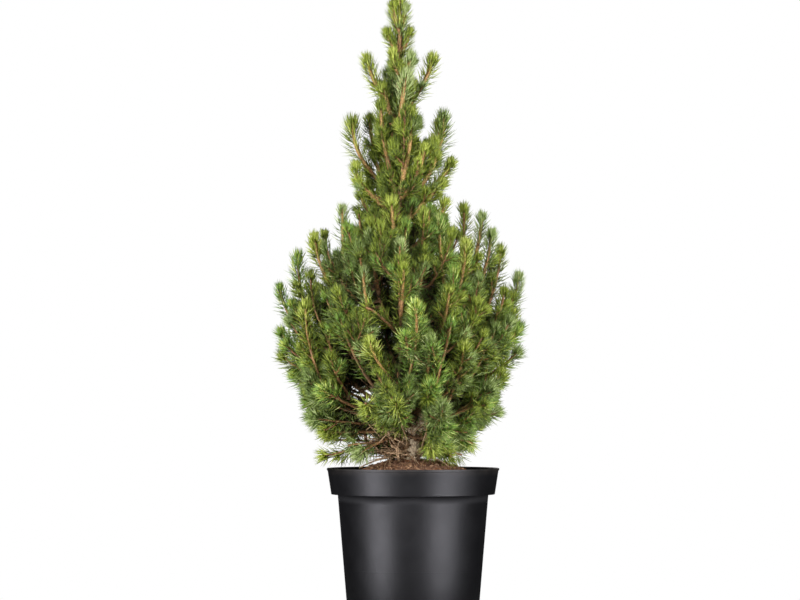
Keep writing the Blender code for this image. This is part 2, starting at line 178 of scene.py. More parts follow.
# Geometry helpers

def unit(vectors: ndarray) -> ndarray:
    """The vectors at length one."""
    return vectors / np.maximum(np.linalg.norm(vectors, axis=-1, keepdims=True), 1e-12)


def square_to(directions: ndarray, near: ndarray) -> ndarray:
    """Unit vectors square to the directions, as near as may be to a given vector."""
    overlap = (directions * near).sum(axis=-1, keepdims=True)
    return unit(near - overlap * directions)


def crown_reach(height: float | ndarray) -> float | ndarray:
    """How far the crown reaches from its own axis at a height."""
    return np.interp(height, CROWN_HEIGHTS, CROWN_REACHES)


def crown_depth(points: ndarray) -> ndarray:
    """How far out in the crown points lie: 0 on its axis and 1 at its outline.

    Args:
        points: Places in the crown, one to a row.

    Returns:
        One share for each place.
    """
    across = np.hypot(points[..., 0] - CROWN_X, points[..., 1])
    leader = np.interp(points[..., 2], LEADER_STARTS, (0.0, 1.0))
    return np.maximum(across / crown_reach(points[..., 2]), leader)


def soil_height(radius: float) -> float:
    """Height of the mounded soil at a distance from the pot's axis."""
    share = min(max((radius - SOIL_FLAT_RADIUS) / (SOIL_EDGE_RADIUS - SOIL_FLAT_RADIUS), 0), 1)
    return SOIL_EDGE_HEIGHT + (SOIL_TOP - SOIL_EDGE_HEIGHT) * (1 + math.cos(math.pi * share)) / 2


def trunk_axis(height: float) -> ndarray:
    """The middle of the trunk at a height: upright through the flare, then bowed."""
    share = max(height - FOOT_HEIGHT - UPRIGHT_FOOT, 0) / (TRUNK_TOP - SOIL_TOP)
    return np.array((FOOT_X + BOW * math.sin(BOW_TURN * share), 0.0, height))


def trunk_radius(height: float) -> float:
    """The trunk's radius at a height, with the flare of its foot.

    Args:
        height: A height above the pot's foot.

    Returns:
        The radius there.
    """
    share = (height - SOIL_TOP) / (TRUNK_TOP - SOIL_TOP)
    taper = TRUNK_TIP_RADIUS + (BUTT_RADIUS - TRUNK_TIP_RADIUS) * max(1 - share, 0) ** TRUNK_TAPER
    return taper + FLARE * math.exp(-(height - SOIL_TOP) / FLARE_HEIGHT)


def as_seen(points: ndarray) -> ndarray:
    """Where places appear to the viewer on the upright plane through the pot's axis."""
    eye = np.array(EYE)
    return eye + (points - eye) * (eye[1] / (eye[1] - points[..., 1:2]))


def along_sight(flat: ndarray, back: float) -> ndarray:
    """A place on that plane, moved along the viewer's line of sight to a depth."""
    eye = np.array(EYE)
    return eye + (flat - eye) * (1 - back / eye[1])


def linear(red: int, green: int, blue: int) -> Triple:
    """A screen colour of 0 to 255 as the linear one that a shader takes."""
    shares = (value / 255 for value in (red, green, blue))
    return tuple(s / 12.92 if s <= 0.04045 else ((s + 0.055) / 1.055) ** 2.4 for s in shares)


@dataclass(frozen=True)
class Ramp:
    """A value that runs in straight pieces from mark to mark."""

    marks: tuple[float, ...]
    values: tuple[float, ...]

    def at(self, mark: float | ndarray) -> float | ndarray:
        """The value at a mark, or at each of several."""
        return np.interp(mark, self.marks, self.values)


@dataclass(frozen=True)
class Bend:
    """A quadratic curve from a start to an end, pulled towards one control point."""

    start: ndarray
    control: ndarray
    end: ndarray

    def places(self, shares: ndarray) -> ndarray:
        """The points at these shares of the curve."""
        s = np.asarray(shares, float)[:, None]
        return (1 - s) ** 2 * self.start + 2 * s * (1 - s) * self.control + s ** 2 * self.end

    def directions(self, shares: ndarray) -> ndarray:
        """The unit tangents at these shares of the curve."""
        s = np.asarray(shares, float)[:, None]
        return unit((1 - s) * (self.control - self.start) + s * (self.end - self.control))

    def place(self, share: float) -> ndarray:
        """The point at one share."""
        return self.places(np.array([share]))[0]

    def direction(self, share: float) -> ndarray:
        """The unit tangent at one share."""
        return self.directions(np.array([share]))[0]

    def cross_axis(self) -> ndarray:
        """The world axis that the curve runs along least."""
        return np.eye(3)[int(np.argmin(np.abs(self.end - self.start)))]

    def length(self) -> float:
        """The length of the curve, by eight chords."""
        return float(np.linalg.norm(np.diff(self.places(np.linspace(0, 1, 9)), axis=0), axis=1).sum())


def turned(profile: list[Pair], steps: int) -> BMesh:
    """A profile of radii and heights, spun round the pot's axis and welded.

    Args:
        profile: Radius and height of each corner, from end to end.
        steps: How many steps make the full turn.

    Returns:
        The closed skin.
    """
    shape = bmesh.new()
    corners = [shape.verts.new((radius, 0, height)) for radius, height in profile]
    edges = [shape.edges.new(pair) for pair in zip(corners, corners[1:])]
    bmesh.ops.spin(shape, geom=corners + edges, cent=(0, 0, 0), axis=(0, 0, 1), dvec=(0, 0, 0),
                   angle=math.tau, steps=steps, use_merge=True, use_duplicate=False)
    bmesh.ops.remove_doubles(shape, verts=shape.verts, dist=WELD)
    bmesh.ops.recalc_face_normals(shape, faces=shape.faces)
    return shape


def ring_of(corners: Iterable[BMVert]) -> list[BMEdge]:
    """The edges of a ring of corners."""
    return list({edge for corner in corners for edge in corner.link_edges})


def next_ring(shape: BMesh, ring: list[BMEdge]) -> tuple[list[BMEdge], list[BMVert]]:
    """Extrudes a ring of edges where it stands.

    Args:
        shape: The shape that the ring is in.
        ring: The edges of the last ring.

    Returns:
        The edges and the corners of the new ring.
    """
    grown = bmesh.ops.extrude_edge_only(shape, edges=ring)["geom"]
    return ([item for item in grown if isinstance(item, BMEdge)],
            [item for item in grown if isinstance(item, BMVert)])


@dataclass(frozen=True)
class Stamp:
    """A small closed shape, one long and one wide, that is repeated many times."""

    corners: ndarray
    faces: ndarray

    @classmethod
    def of(cls, shape: BMesh) -> "Stamp":
        """Takes the corners and triangles of a shape, and frees it.

        Args:
            shape: The shape, which may have faces of any kind.

        Returns:
            The stamp.
        """
        bmesh.ops.triangulate(shape, faces=shape.faces)
        bmesh.ops.recalc_face_normals(shape, faces=shape.faces)
        shape.verts.index_update()
        corners = np.array([vertex.co[:] for vertex in shape.verts])
        faces = np.array([[vertex.index for vertex in face.verts] for face in shape.faces])
        shape.free()
        return cls(corners, faces)

    @classmethod
    def needle(cls) -> "Stamp":
        """A three-sided needle, pointed at both ends and widest below its middle.

        Returns:
            The stamp, with five corners.
        """
        widest = 0.38
        shape = bmesh.new()
        bmesh.ops.create_cone(shape, cap_ends=True, cap_tris=False, segments=3, radius1=0.5, radius2=0,
                              depth=1 - widest, matrix=Matrix.Translation((0, 0, (1 + widest) / 2)))
        foot = min(shape.faces, key=lambda face: face.calc_center_median().z)
        centre = bmesh.ops.poke(shape, faces=[foot])["verts"][0]
        centre.co = (0, 0, 0)
        return cls.of(shape)

    @classmethod
    def spike(cls) -> "Stamp":
        """A plainer needle for the inside of the crown: three sides from a broad foot to a point.

        Returns:
            The stamp, with four corners.
        """
        shape = bmesh.new()
        bmesh.ops.create_cone(shape, cap_ends=True, cap_tris=False, segments=3, radius1=0.5, radius2=0,
                              depth=1.0, matrix=Matrix.Translation((0, 0, 0.5)))
        return cls.of(shape)

    @classmethod
    def crumb(cls, seed: int) -> "Stamp":
        """A lump with uneven corners.

        Args:
            seed: The seed of its unevenness.

        Returns:
            The stamp, about one across.
        """
        chance = random.Random(seed)
        shape = bmesh.new()
        bmesh.ops.create_icosphere(shape, subdivisions=1, radius=0.5)
        for vertex in shape.verts:
            vertex.co *= chance.uniform(0.6, 1.15)
        return cls.of(shape)

    @classmethod
    def strand(cls, rings: int, sides: int) -> "Stamp":
        """A closed tube of unit length with as many rings as a smooth bend needs.

        Args:
            rings: How many rings it has.
            sides: How many sides it has.

        Returns:
            The stamp.
        """
        shape = bmesh.new()
        ring = ring_of(bmesh.ops.create_circle(shape, cap_ends=False, segments=sides, radius=0.5)["verts"])
        for _ in range(rings - 1):
            ring, corners = next_ring(shape, ring)
            bmesh.ops.translate(shape, verts=corners, vec=(0, 0, 1 / (rings - 1)))
        bmesh.ops.holes_fill(shape, edges=shape.edges)
        return cls.of(shape)


@dataclass
class Copies:
    """Where each copy of a stamp goes, one to a row of every array."""

    place: ndarray
    along: ndarray
    side: ndarray
    length: ndarray
    width: ndarray
    bow: ndarray
    tone: ndarray

    @classmethod
    def gathered(cls, parts: Iterable["Copies"]) -> "Copies":
        """One list of copies out of several.

        Args:
            parts: The lists to join, in order.

        Returns:
            One list.
        """
        parts = list(parts)
        return cls(*(np.concatenate([getattr(part, name) for part in parts])
                     for name in cls.__dataclass_fields__))

    def chosen(self, rows: slice | ndarray) -> "Copies":
        """The copies in these rows."""
        return Copies(*(getattr(self, name)[rows] for name in self.__dataclass_fields__))

    def corners(self, stamp: Stamp) -> ndarray:
        """The corners of every copy, bowed to the side that each one's bow gives.

        Args:
            stamp: The shape that is copied.

        Returns:
            Places by copy, then by corner of the stamp.
        """
        x, y, z = (stamp.corners[None, :, axis, None] for axis in range(3))
        third = np.cross(self.along, self.side)[:, None]
        width, length = self.width[:, None, None], self.length[:, None, None]
        flat = x * width * self.side[:, None] + y * width * third + z * length * self.along[:, None]
        return self.place[:, None] + flat + 4 * z * (1 - z) * self.bow[:, None]


# Growth

@dataclass(frozen=True)
class Tier:
    """One ring of limbs round the trunk, with the sizes of the solids."""

    name: str
    root: float
    tip: float
    bough_share: float
    radius: float
    shoots: int
    shoot_length: float
    lift: float
    azimuths: tuple[int, ...]


TIERS = (
    Tier("skirt", 0.188, 0.190, 0.0, 0.0020, 4, 0.048, 0.10, (18, 88, 158, 222, 300)),
    Tier("lower", 0.202, 0.240, 0.24, 0.0029, 6, 0.050, 0.3, (354, 54, 126, 190, 266)),
    Tier("middle", 0.222, 0.322, 0.28, 0.0031, 6, 0.052, 0.8, (8, 72, 128, 178, 236, 300)),
    Tier("shoulder", 0.262, 0.386, 0.26, 0.0028, 6, 0.048, 1.1, (348, 50, 106, 186, 270)),
    Tier("dome", 0.312, 0.442, 0.0, 0.0024, 5, 0.046, 1.2, (10, 84, 160, 222, 302)),
    Tier("collar", 0.384, 0.500, 0.0, 0.0021, 5, 0.036, 1.3, (350, 110, 200)),
    Tier("spire", 0.440, 0.556, 0.0, 0.0019, 5, 0.034, 1.3, (24, 168, 280)),
    Tier("upper", 0.496, 0.596, 0.0, 0.0017, 4, 0.028, 1.3, (84, 208, 330)),
    Tier("top", 0.548, 0.622, 0.0, 0.0015, 3, 0.022, 1.2, (4, 178)),
)


@dataclass
class Shoot:
    """One limb, branch or twig of the tree."""

    bend: Bend
    foot_radius: float
    tip_radius: float
    needled_from: float
    rank: Rank
    lift: float
    seed: int
    size: float = 1.0
    tone: float = 0.0
    tuft: float = 0.5
    tier: Tier | None = None

    def depth(self) -> float:
        """How far out in the crown its tip lies."""
        return float(crown_depth(self.bend.end[None])[0])

    def radius(self, share: float | ndarray) -> float | ndarray:
        """Its radius at a share of its length."""
        return self.foot_radius + (self.tip_radius - self.foot_radius) * share


@dataclass(frozen=True)
class Opening:
    """An oval seen by the viewer, in millimetres, where little grows nearer than a depth."""

    right: float
    high: float
    half_width: float
    half_height: float
    before: float = math.inf

    def covers(self, points: ndarray) -> ndarray:
        """Whether places lie in it as the viewer sees them.

        Args:
            points: The places, one to a row.

        Returns:
            A yes or no for each place.
        """
        seen = as_seen(points) * 1000
        across = (seen[..., 0] - self.right) / self.half_width
        up = (seen[..., 2] - self.high) / self.half_height
        return (across ** 2 + up ** 2 < 1) & (points[..., 1] < self.before)


@dataclass(frozen=True)
class Layer:
    """One layer of the shoots that fill the crown: how they are spread and what they look like."""

    tries: int
    depths: Pair
    spacing: float
    first_seed: int
    tones: Pair
    tuft: float


# The right and high of each shown shoot's tip, bend and foot, in millimetres from the pot's axis and
# foot, then how near it is to the viewer, as a share of the room before the crown's axis, its size
# and its tone
SHOWN_SHOOTS = (
    (-16, 696, -13, 642, -17, 587, 0.15, 1.25, 0.9), (-22, 682, -22, 668, -17, 652, 0.45, 0.95, 0.6),
    (-8, 679, -9, 664, -14, 647, 0, 0.95, 0.2), (-30, 652, -26, 636, -17, 623, 0.4, 0.95, 0),
    (-2, 652, -7, 636, -14, 621, 0.1, 0.95, -0.2), (-23, 629, -22, 616, -17, 601, 0.6, 0.9, 0.6),
    (-2, 625, -4, 607, -16, 587, 0.4, 1, 0.5), (-28, 607, -26, 583, -18, 556, -0.5, 1, -2),
    (-53, 623, -46, 587, -19, 558, 0.1, 1.1, 0.1), (23, 623, 17, 590, -14, 552, 0.1, 1.1, 0.2),
    (-4, 605, -12, 578, -14, 545, 0.85, 1.2, 1), (-33, 590, -31, 570, -19, 538, 0.4, 0.9, 0),
    (-36, 571, -36, 525, -19, 469, 0.7, 1.1, 0), (-2, 564, -1, 519, -14, 467, 0.75, 1.1, 0.7),
    (-68, 553, -67, 497, -19, 465, 0.15, 1.35, -0.5), (-48, 556, -49, 514, -21, 478, -0.4, 1.1, -1.5),
    (34, 559, 35, 497, -14, 465, 0.15, 1.25, -0.8), (29, 549, 30, 506, -6, 470, 0.05, 1.1, -1),
    (13, 523, 11, 492, -13, 461, 0.65, 0.9, 1.3), (45, 506, 30, 472, -12, 452, 0.35, 1, 0),
    (-63, 503, -66, 467, -20, 452, 0.4, 1, 0.5), (37, 481, 19, 463, -10, 432, 0.6, 1, 0.3),
    (37, 462, 30, 430, -3, 403, 0.45, 1.1, 0.5), (-60, 469, -52, 442, -23, 414, 0.3, 1, -0.5),
    (-24, 464, -23, 423, -14, 375, 0.85, 1.2, 1.5), (-14, 416, -16, 389, -13, 347, 0.8, 0.9, 0.5),
    (-11, 389, -10, 364, -14, 327, 0.93, 0.9, 0.6), (-49, 439, -48, 408, -39, 358, 0.65, 1, 0.2),
    (-63, 426, -61, 397, -52, 358, 0.4, 0.9, 0), (-79, 454, -78, 392, -71, 319, 0.45, 1, 1),
    (-99, 425, -98, 397, -81, 356, 0.05, 0.85, -0.2), (-110, 423, -108, 383, -79, 341, 0.35, 1, 1.5),
    (-128, 402, -129, 353, -106, 297, 0.15, 1.15, 0.2), (-149, 366, -145, 336, -122, 305, 0, 0.95, -1),
    (-119, 348, -122, 302, -98, 247, 0.6, 1.05, 1.3), (-150, 315, -137, 297, -106, 278, 0.1, 1.05, -0.6),
    (-149, 289, -135, 274, -104, 258, 0.25, 1.1, -0.2), (-137, 267, -122, 256, -95, 245, -0.1, 1.1, -0.5),
    (-55, 385, -56, 358, -46, 314, 0.75, 0.95, 1), (-67, 330, -68, 308, -53, 267, 0.75, 0.95, -0.8),
    (-58, 340, -42, 336, -19, 311, 0.85, 1.1, 0), (-49, 305, -46, 282, -23, 258, 0.92, 1, 1.4),
    (1, 348, 10, 297, -12, 241, 0.97, 1.05, 1.8), (-7, 313, -8, 297, -3, 278, 0.9, 0.8, -0.9),
    (33, 365, 43, 308, 26, 252, 0.5, 0.95, 1), (27, 444, 30, 403, 37, 347, 0.6, 1, 1),
    (12, 440, 13, 414, 12, 375, 0.4, 0.85, 0), (42, 429, 43, 403, 41, 364, -0.3, 0.9, -2),
    (56, 455, 59, 414, 50, 358, -0.05, 1.05, -1), (58, 417, 59, 375, 43, 330, 0.65, 1, 1.8),
    (77, 446, 75, 403, 57, 358, 0.2, 1, 0.8), (88, 427, 85, 389, 68, 341, 0.35, 1, 0),
    (101, 363, 101, 330, 75, 297, 0.45, 0.95, -1), (118, 379, 115, 334, 86, 297, 0, 1.05, 0),
    (120, 324, 110, 297, 83, 278, 0.1, 1.1, -0.8), (120, 294, 106, 276, 79, 260, 0.3, 1.1, 0.1),
    (97, 409, 97, 369, 77, 325, -0.1, 1.05, -0.9), (98, 272, 95, 252, 68, 231, 0.3, 1, 1),
    (56, 300, 57, 275, 41, 238, 0.85, 1.1, 0.5), (81, 302, 79, 278, 55, 249, 0.6, 1.1, -0.5),
    (71, 351, 70, 322, 55, 291, 0.7, 1.1, 0), (-92, 289, -90, 267, -72, 241, 0.6, 1.05, -0.2),
    (19, 308, 19, 280, 12, 245, 0.88, 1.05, 0.3), (-105, 249, -88, 238, -52, 222, 0.75, 1.15, 0.2),
    (-121, 234, -102, 236, -63, 222, 0.25, 1.1, -0.6), (-55, 233, -46, 227, -17, 205, 0.95, 1.2, 0.8),
    (-19, 233, -18, 222, -10, 200, 0.97, 1.1, 0.5), (33, 232, 32, 211, 14, 191, 0.93, 1.3, 0.2),
    (99, 225, 81, 216, 43, 209, 0.15, 0.9, 0.3), (72, 184, 55, 193, 21, 196, 0.5, 1.1, 0.4),
    (-105, 172, -76, 178, -23, 191, 0.5, 1.1, 0), (-104, 199, -79, 200, -31, 200, 0.2, 1.1, -0.2),
    (-62, 171, -51, 184, -19, 196, 0.9, 1.2, 0.4), (19, 178, 19, 189, 6, 200, 0.9, 1.2, 0.6),
    (86, 236, 70, 229, 30, 213, 0.5, 1.1, 0.2), (21, 253, 17, 240, 3, 216, 0.9, 1.15, 0.4),
    (-117, 216, -98, 213, -55, 209, 0.4, 1.1, -0.2), (47, 169, 32, 180, 8, 191, 0.8, 1.1, 0.1),
    (-28, 249, -26, 236, -12, 208, 0.8, 1.1, 0.2), (-99, 322, -96, 300, -80, 268, 0.45, 1, -0.2),
    (-84, 334, -84, 312, -68, 284, 0.6, 1, 0), (-121, 252, -104, 245, -76, 233, 0.3, 1, -0.3),
    (67, 208, 50, 205, 19, 198, 0.1, 1.1, -0.5), (89, 255, 79, 240, 48, 222, 0.5, 1.1, 0.3),
    (60, 172, 39, 180, 12, 188, 0.3, 1.1, 0), (-141, 329, -129, 309, -104, 280, 0.25, 1, -0.8),
    (-147, 301, -130, 285, -101, 265, 0.35, 1.1, -0.5), (-136, 348, -129, 327, -110, 296, 0.3, 0.95, -0.9),
    (114, 338, 108, 316, 86, 292, 0.25, 1, -0.6), (112, 357, 109, 335, 90, 310, 0.1, 1, -1),
    (118, 318, 110, 302, 88, 284, 0.4, 1, -0.5), (109, 330, 104, 310, 84, 288, 0.6, 1, -0.3),
    (41, 364, 40, 340, 30, 310, 0.75, 1, 0.3), (88, 394, 86, 362, 70, 325, -0.15, 1.05, -1.2),
    (80, 372, 78, 345, 62, 310, -0.3, 1.05, -1.2), (-110, 354, -106, 330, -88, 300, -0.1, 1, -1.5),
    (-45, 514, -42, 495, -22, 468, -0.15, 1.1, -1), (27, 514, 24, 495, 5, 468, 0.3, 0.95, -0.3),
    (25, 531, 21, 514, 3, 494, 0.3, 1, 0.2), (1, 594, -3, 583, -14, 565, 0.3, 0.9, -1),
    (-63, 485, -57, 468, -30, 450, 0.35, 1, -0.2), (105, 347, 102, 322, 83, 296, 0.15, 1, -0.7),
    (110, 310, 100, 295, 80, 278, 0.35, 1, -0.5), (93, 322, 89, 302, 72, 278, 0.45, 1, -0.9),
    (104, 265, 91, 251, 70, 245, 0.25, 1.05, -0.6), (93, 242, 80, 236, 55, 231, 0.2, 1.1, -0.5),
)
OPENINGS = tuple(Opening(*row) for row in (
    (-60, 243, 11, 9), (-48, 236, 9, 6), (-79, 188, 10, 8), (-93, 184, 9, 7), (-53, 191, 12, 8),
    (-41, 494, 4, 7), (-57, 531, 3, 16), (48, 406, 5, 11), (46, 440, 7, 11), (-84, 418, 4, 14),
    (-62, 434, 7, 5), (12, 206, 3, 6), (-15, 632, 3.5, 22, 0.0), (-91, 410, 5, 14), (-104, 386, 3, 9),
    (-92, 166, 12, 4), (75, 190, 9, 12), (52, 174, 10, 6), (4, 199, 11, 36, 0.0), (-22, 181, 22, 12, 0.0),
    (3, 418, 9, 12, -0.024), (-1, 437, 4, 9, -0.024), (-32, 364, 9, 13, -0.024), (-49, 339, 11, 7, 0.0),
    (-17, 338, 10, 10, -0.024), (19, 361, 9, 22, -0.024), (23, 319, 9, 9, -0.024),
    (-26, 304, 8, 16, -0.045), (37, 286, 8, 13, -0.024), (26, 269, 10, 7, -0.024),
    (-69, 276, 7, 17, -0.024), (-72, 252, 8, 15, -0.024), (-72, 224, 15, 13, -0.024),
    (-48, 257, 13, 8, -0.024), (-109, 353, 6, 8, -0.024), (-99, 339, 7, 7, -0.024), (37, 244, 7, 10, 0.0),
    (86, 347, 7, 9, -0.024), (53, 227, 13, 13, -0.024),
))


@dataclass
class Crown:
    """Grows the whole crown: limbs, their shoots, finer twigs and the upright shoots outside.

    Each ramp is read by the height of a shoot's tip or foot. The sizes named dead are those of the
    bare twigs round the trunk. The filling keeps away from the portrait's shoots: front holds how far
    out and how near it may not lie, and spire_front the same for the top by its height. An upright
    shoot below the first of upright_twigs bears four twigs, a paler one than the second only one, and
    any other two.
    """

    shown: tuple[tuple[float, ...], ...] = SHOWN_SHOOTS
    openings: tuple[Opening, ...] = OPENINGS
    trunk_view: Opening = Opening(3, 206, 8, 30, 0.0)
    layers: tuple[Layer, ...] = (
        Layer(6000, (0.90, 1.0), 0.030, 30_000, (-0.8, 1.3), 1.0),
        # partly painted shade: the inner layer's greens are darker, for shade inside the crown as well as
        # for older needles
        Layer(4000, (0.50, 0.86), 0.0245, 40_000, (-2.2, -0.4), 0.8),
    )
    lean: Ramp = Ramp((0.163, 0.190, 0.220, 0.260, 0.300, 0.350, 0.450, 0.700),
                      (98, 88, 68, 48, 32, 22, 14, 6))
    lean_jitter: float = 7
    sway: float = 0.12
    upright_twigs: Pair = (0.26, 0.6)
    upright_twig_scale: float = 0.36
    bare_share: Ramp = Ramp((0.42, 0.50), (0.42, 0.16))
    shown_inward: Ramp = Ramp((0.20, 0.30), (0.30, 0.72))
    shown_girth: Ramp = Ramp((0.25, 0.40, 0.48), (0.95, 1.1, 1.6))
    shown_radii: Pair = (0.0018, 0.0012)
    filling_heights: Pair = (0.178, 0.640)
    filling_width: Ramp = Ramp((0.20, 0.28, 0.42, 0.46, 0.64), (0.94, 0.82, 0.70, 0.38, 0.34))
    filling_length: Ramp = Ramp((0.17, 0.25, 0.45, 0.66), (0.046, 0.060, 0.062, 0.036))
    filling_radii: Pair = (0.0015, 0.00095)
    filling_scales: Pair = (0.8, 1.2)
    filling_sizes: Pair = (0.92, 1.12)
    foot_outward: float = 0.35
    front: Pair = (0.88, -0.3)
    spire_front: Pair = (0.46, -0.1)
    limb_reach: float = 0.94
    limb_tip_radius: float = 0.0011
    # partly painted shade: needles on limbs, inside the crown, take darker greens, besides the duller
    # colour of older needles
    limb_tone: float = -1.1
    link_radius: float = 0.0021
    shortest_link: float = 0.002
    # partly painted shade: needles on links, inside the crown, take darker greens too
    link_tone: float = -1.2
    uphill_cost: float = 1.2
    twig_radii: Pair = (0.0012, 0.0007)
    twig_run: Pair = (0.2, 0.5)
    twig_tuft: float = 0.45
    twig_tone: float = -0.3
    longest_twig: float = 0.024
    branch_twigs: tuple[int, float] = (3, 0.5)
    mouth_radius: float = 0.07
    lowest_over_mouth: float = 0.178
    lowest_over_rim: float = 0.170
    needle_room: float = 0.0095
    tuft_height: float = 0.0055
    dead_twigs: int = 330
    dead_foot: float = 0.170
    dead_spread: float = 0.070
    dead_lengths: Pair = (0.014, 0.050)
    dead_radii: Pair = (0.0007, 0.0012)
    dead_nearer: float = 0.010
    seed: int = 41
    shoots: list[Shoot] = field(default_factory=list)

    def grow(self) -> None:
        """Grows every shoot, each order from the one before."""
        limbs = self.limbs()
        branches = [shoot for limb in limbs for shoot in self.side_shoots(limb)]
        self.shoots = limbs + branches
        self.shoots += [twig for shoot in branches for twig in self.twigs(shoot, *self.branch_twigs)]
        shares = np.linspace(0.1, 0.95, 16)
        trunk = np.array([trunk_axis(height) for height in np.linspace(0.19, TRUNK_TOP, 60)])
        wood = np.concatenate([trunk] + [shoot.bend.places(shares) for shoot in limbs + branches])
        for index, row in enumerate(self.shown):
            self.add_upright(self.shown_shoot(row, 20_000 + index), wood)
        for shoot in self.filling():
            self.add_upright(shoot, wood)
        self.shoots += self.bare_twigs()

    def limbs(self) -> list[Shoot]:
        """The limbs by the rule of the solids: out from the trunk at first, then upwards.

        Returns:
            Every limb, tier by tier.
        """
        made = []
        for level, tier in enumerate(TIERS):
            for number, azimuth in enumerate(tier.azimuths, 1):
                seed = 100 * level + number
                bend = self.limb_bend(tier, azimuth, random.Random(seed))
                bare = float(self.bare_share.at(tier.tip))
                made.append(Shoot(bend, tier.radius, self.limb_tip_radius, bare, Rank.LIMB, tier.lift, seed,
                                  tone=self.limb_tone, tier=tier))
        return made

    def limb_bend(self, tier: Tier, azimuth: float, chance: random.Random) -> Bend:
        """The curve of one limb from the trunk's axis to its furthest tip.

        Args:
            tier: The ring that it belongs to.
            azimuth: Its turn round the trunk, in degrees.
            chance: Where the numbers come from.

        Returns:
            The curve.
        """
        start = trunk_axis(tier.root + chance.uniform(-1, 1) * HEIGHT_JITTER)
        height = tier.tip + chance.uniform(-1, 1) * HEIGHT_JITTER
        angle = math.radians(azimuth)
        sideways = float(self.filling_width.at(height)) - self.limb_reach
        most = self.limb_reach + sideways * abs(math.cos(angle)) ** 2
        reach = crown_reach(height) * most - TIP_MARGIN - self.needle_room
        tip = np.array((CROWN_X + reach * math.cos(angle), reach * math.sin(angle), height))
        out = (tip - start) * (1, 1, 0)
        rise = UP * ((tip[2] - start[2]) * CONTROL_UP + CONTROL_RISE)
        return Bend(start, start + out * CONTROL_OUT + rise, tip)

    def side_bend(self, parent: Bend, share: float, roll: float, length: float, lift: float) -> Bend:
        """A side shoot: it leaves its parent at the shoot angle and bends towards the light.

        Args:
            parent: The curve that it leaves.
            share: Where on the parent.
            roll: Its turn round the parent.
            length: Its length.
            lift: How strongly it bends upwards.

        Returns:
            The curve.
        """
        along = parent.direction(share)
        across = unit(np.cross(along, UP)) if abs(along[2]) < 0.999 else np.array((1.0, 0.0, 0.0))
        across = np.array(Matrix.Rotation(roll, 3, Vector(along)) @ Vector(across))
        leave = along * math.cos(SHOOT_ANGLE) + across * math.sin(SHOOT_ANGLE)
        start = parent.place(share)
        middle = start + leave * length / 2
        return Bend(start, middle, middle + unit(leave + UP * lift) * length / 2)

    def closed(self, points: ndarray) -> bool:
        """Whether any of these places lies in an opening."""
        return any(opening.covers(points).any() for opening in self.openings)

    def has_room(self, bend: Bend) -> bool:
        """Whether a shoot keeps inside the crown, above the pot and out of the openings.

        Args:
            bend: The curve of the shoot.

        Returns:
            Whether there is room.
        """
        points = bend.places(np.array((0.4, 0.6, 0.8, 1.0)))
        across = np.hypot(points[:, 0] - CROWN_X, points[:, 1])
        inside = across < crown_reach(points[:, 2]) * self.limb_reach - self.needle_room
        past_mouth = np.hypot(points[:, 0], points[:, 1]) > self.mouth_radius
        above = points[:, 2] > np.where(past_mouth, self.lowest_over_rim, self.lowest_over_mouth)
        return bool(inside.all() and above.all() and not self.closed(points))

    def side_shoots(self, limb: Shoot) -> list[Shoot]:
        """The first shoots of a limb, at the places and turns of the solids.

        Args:
            limb: The limb that bears them.

        Returns:
            Those that have room.
        """
        chance = random.Random(limb.seed)
        tier = limb.tier
        made = []
        for index in range(tier.shoots):
            run = FIRST_SHOOT + SHOOT_RUN * (index + 0.5) / tier.shoots
            share = tier.bough_share + (1 - tier.bough_share) * run
            roll = index * GOLDEN_TURN + chance.uniform(-ROLL_JITTER, ROLL_JITTER)
            longest = tier.shoot_length * chance.uniform(*LENGTH_JITTER)
            made += self.fitted(limb, share, roll, longest, Rank.BRANCH, 10_000 + limb.seed * 16 + index)
        return made

    def twigs(self, parent: Shoot, count: int, scale: float) -> list[Shoot]:
        """The finer twigs of a shoot, by the same rule at a smaller size.

        Args:
            parent: The shoot that bears them.
            count: How many to try.
            scale: Their length as a share of the parent's.

        Returns:
            Those that have room.
        """
        chance = random.Random(parent.seed * 7 + 3)
        longest = parent.bend.length() * scale
        first, run = self.twig_run
        made = []
        for index in range(count):
            share = first + run * (index + chance.random()) / count
            roll = index * GOLDEN_TURN + chance.uniform(-ROLL_JITTER, ROLL_JITTER)
            length = min(longest * chance.uniform(*LENGTH_JITTER), self.longest_twig)
            made += self.fitted(parent, share, roll, length, Rank.TWIG, parent.seed * 5 + index)
        return made

    def fitted(self, parent: Shoot, share: float, roll: float, length: float, rank: Rank,
               seed: int) -> list[Shoot]:
        """One side shoot, shortened until it has room, or none.

        Args:
            parent: The shoot that it leaves.
            share: Where on the parent.
            roll: Its turn round the parent.
            length: Its full length.
            rank: What kind of shoot it is.
            seed: Its own seed.

        Returns:
            A list of one shoot, or an empty one.
        """
        for part in SHOOT_SHARES:
            bend = self.side_bend(parent.bend, share, roll, length * part, parent.lift)
            if self.has_room(bend):
                foot, tip = self.twig_radii
                return [Shoot(bend, min(parent.radius(share) * 0.8, foot), tip, 0.06, rank, parent.lift,
                              seed, parent.size * 0.95, parent.tone + self.twig_tone,
                              tuft=self.twig_tuft)]
        return []

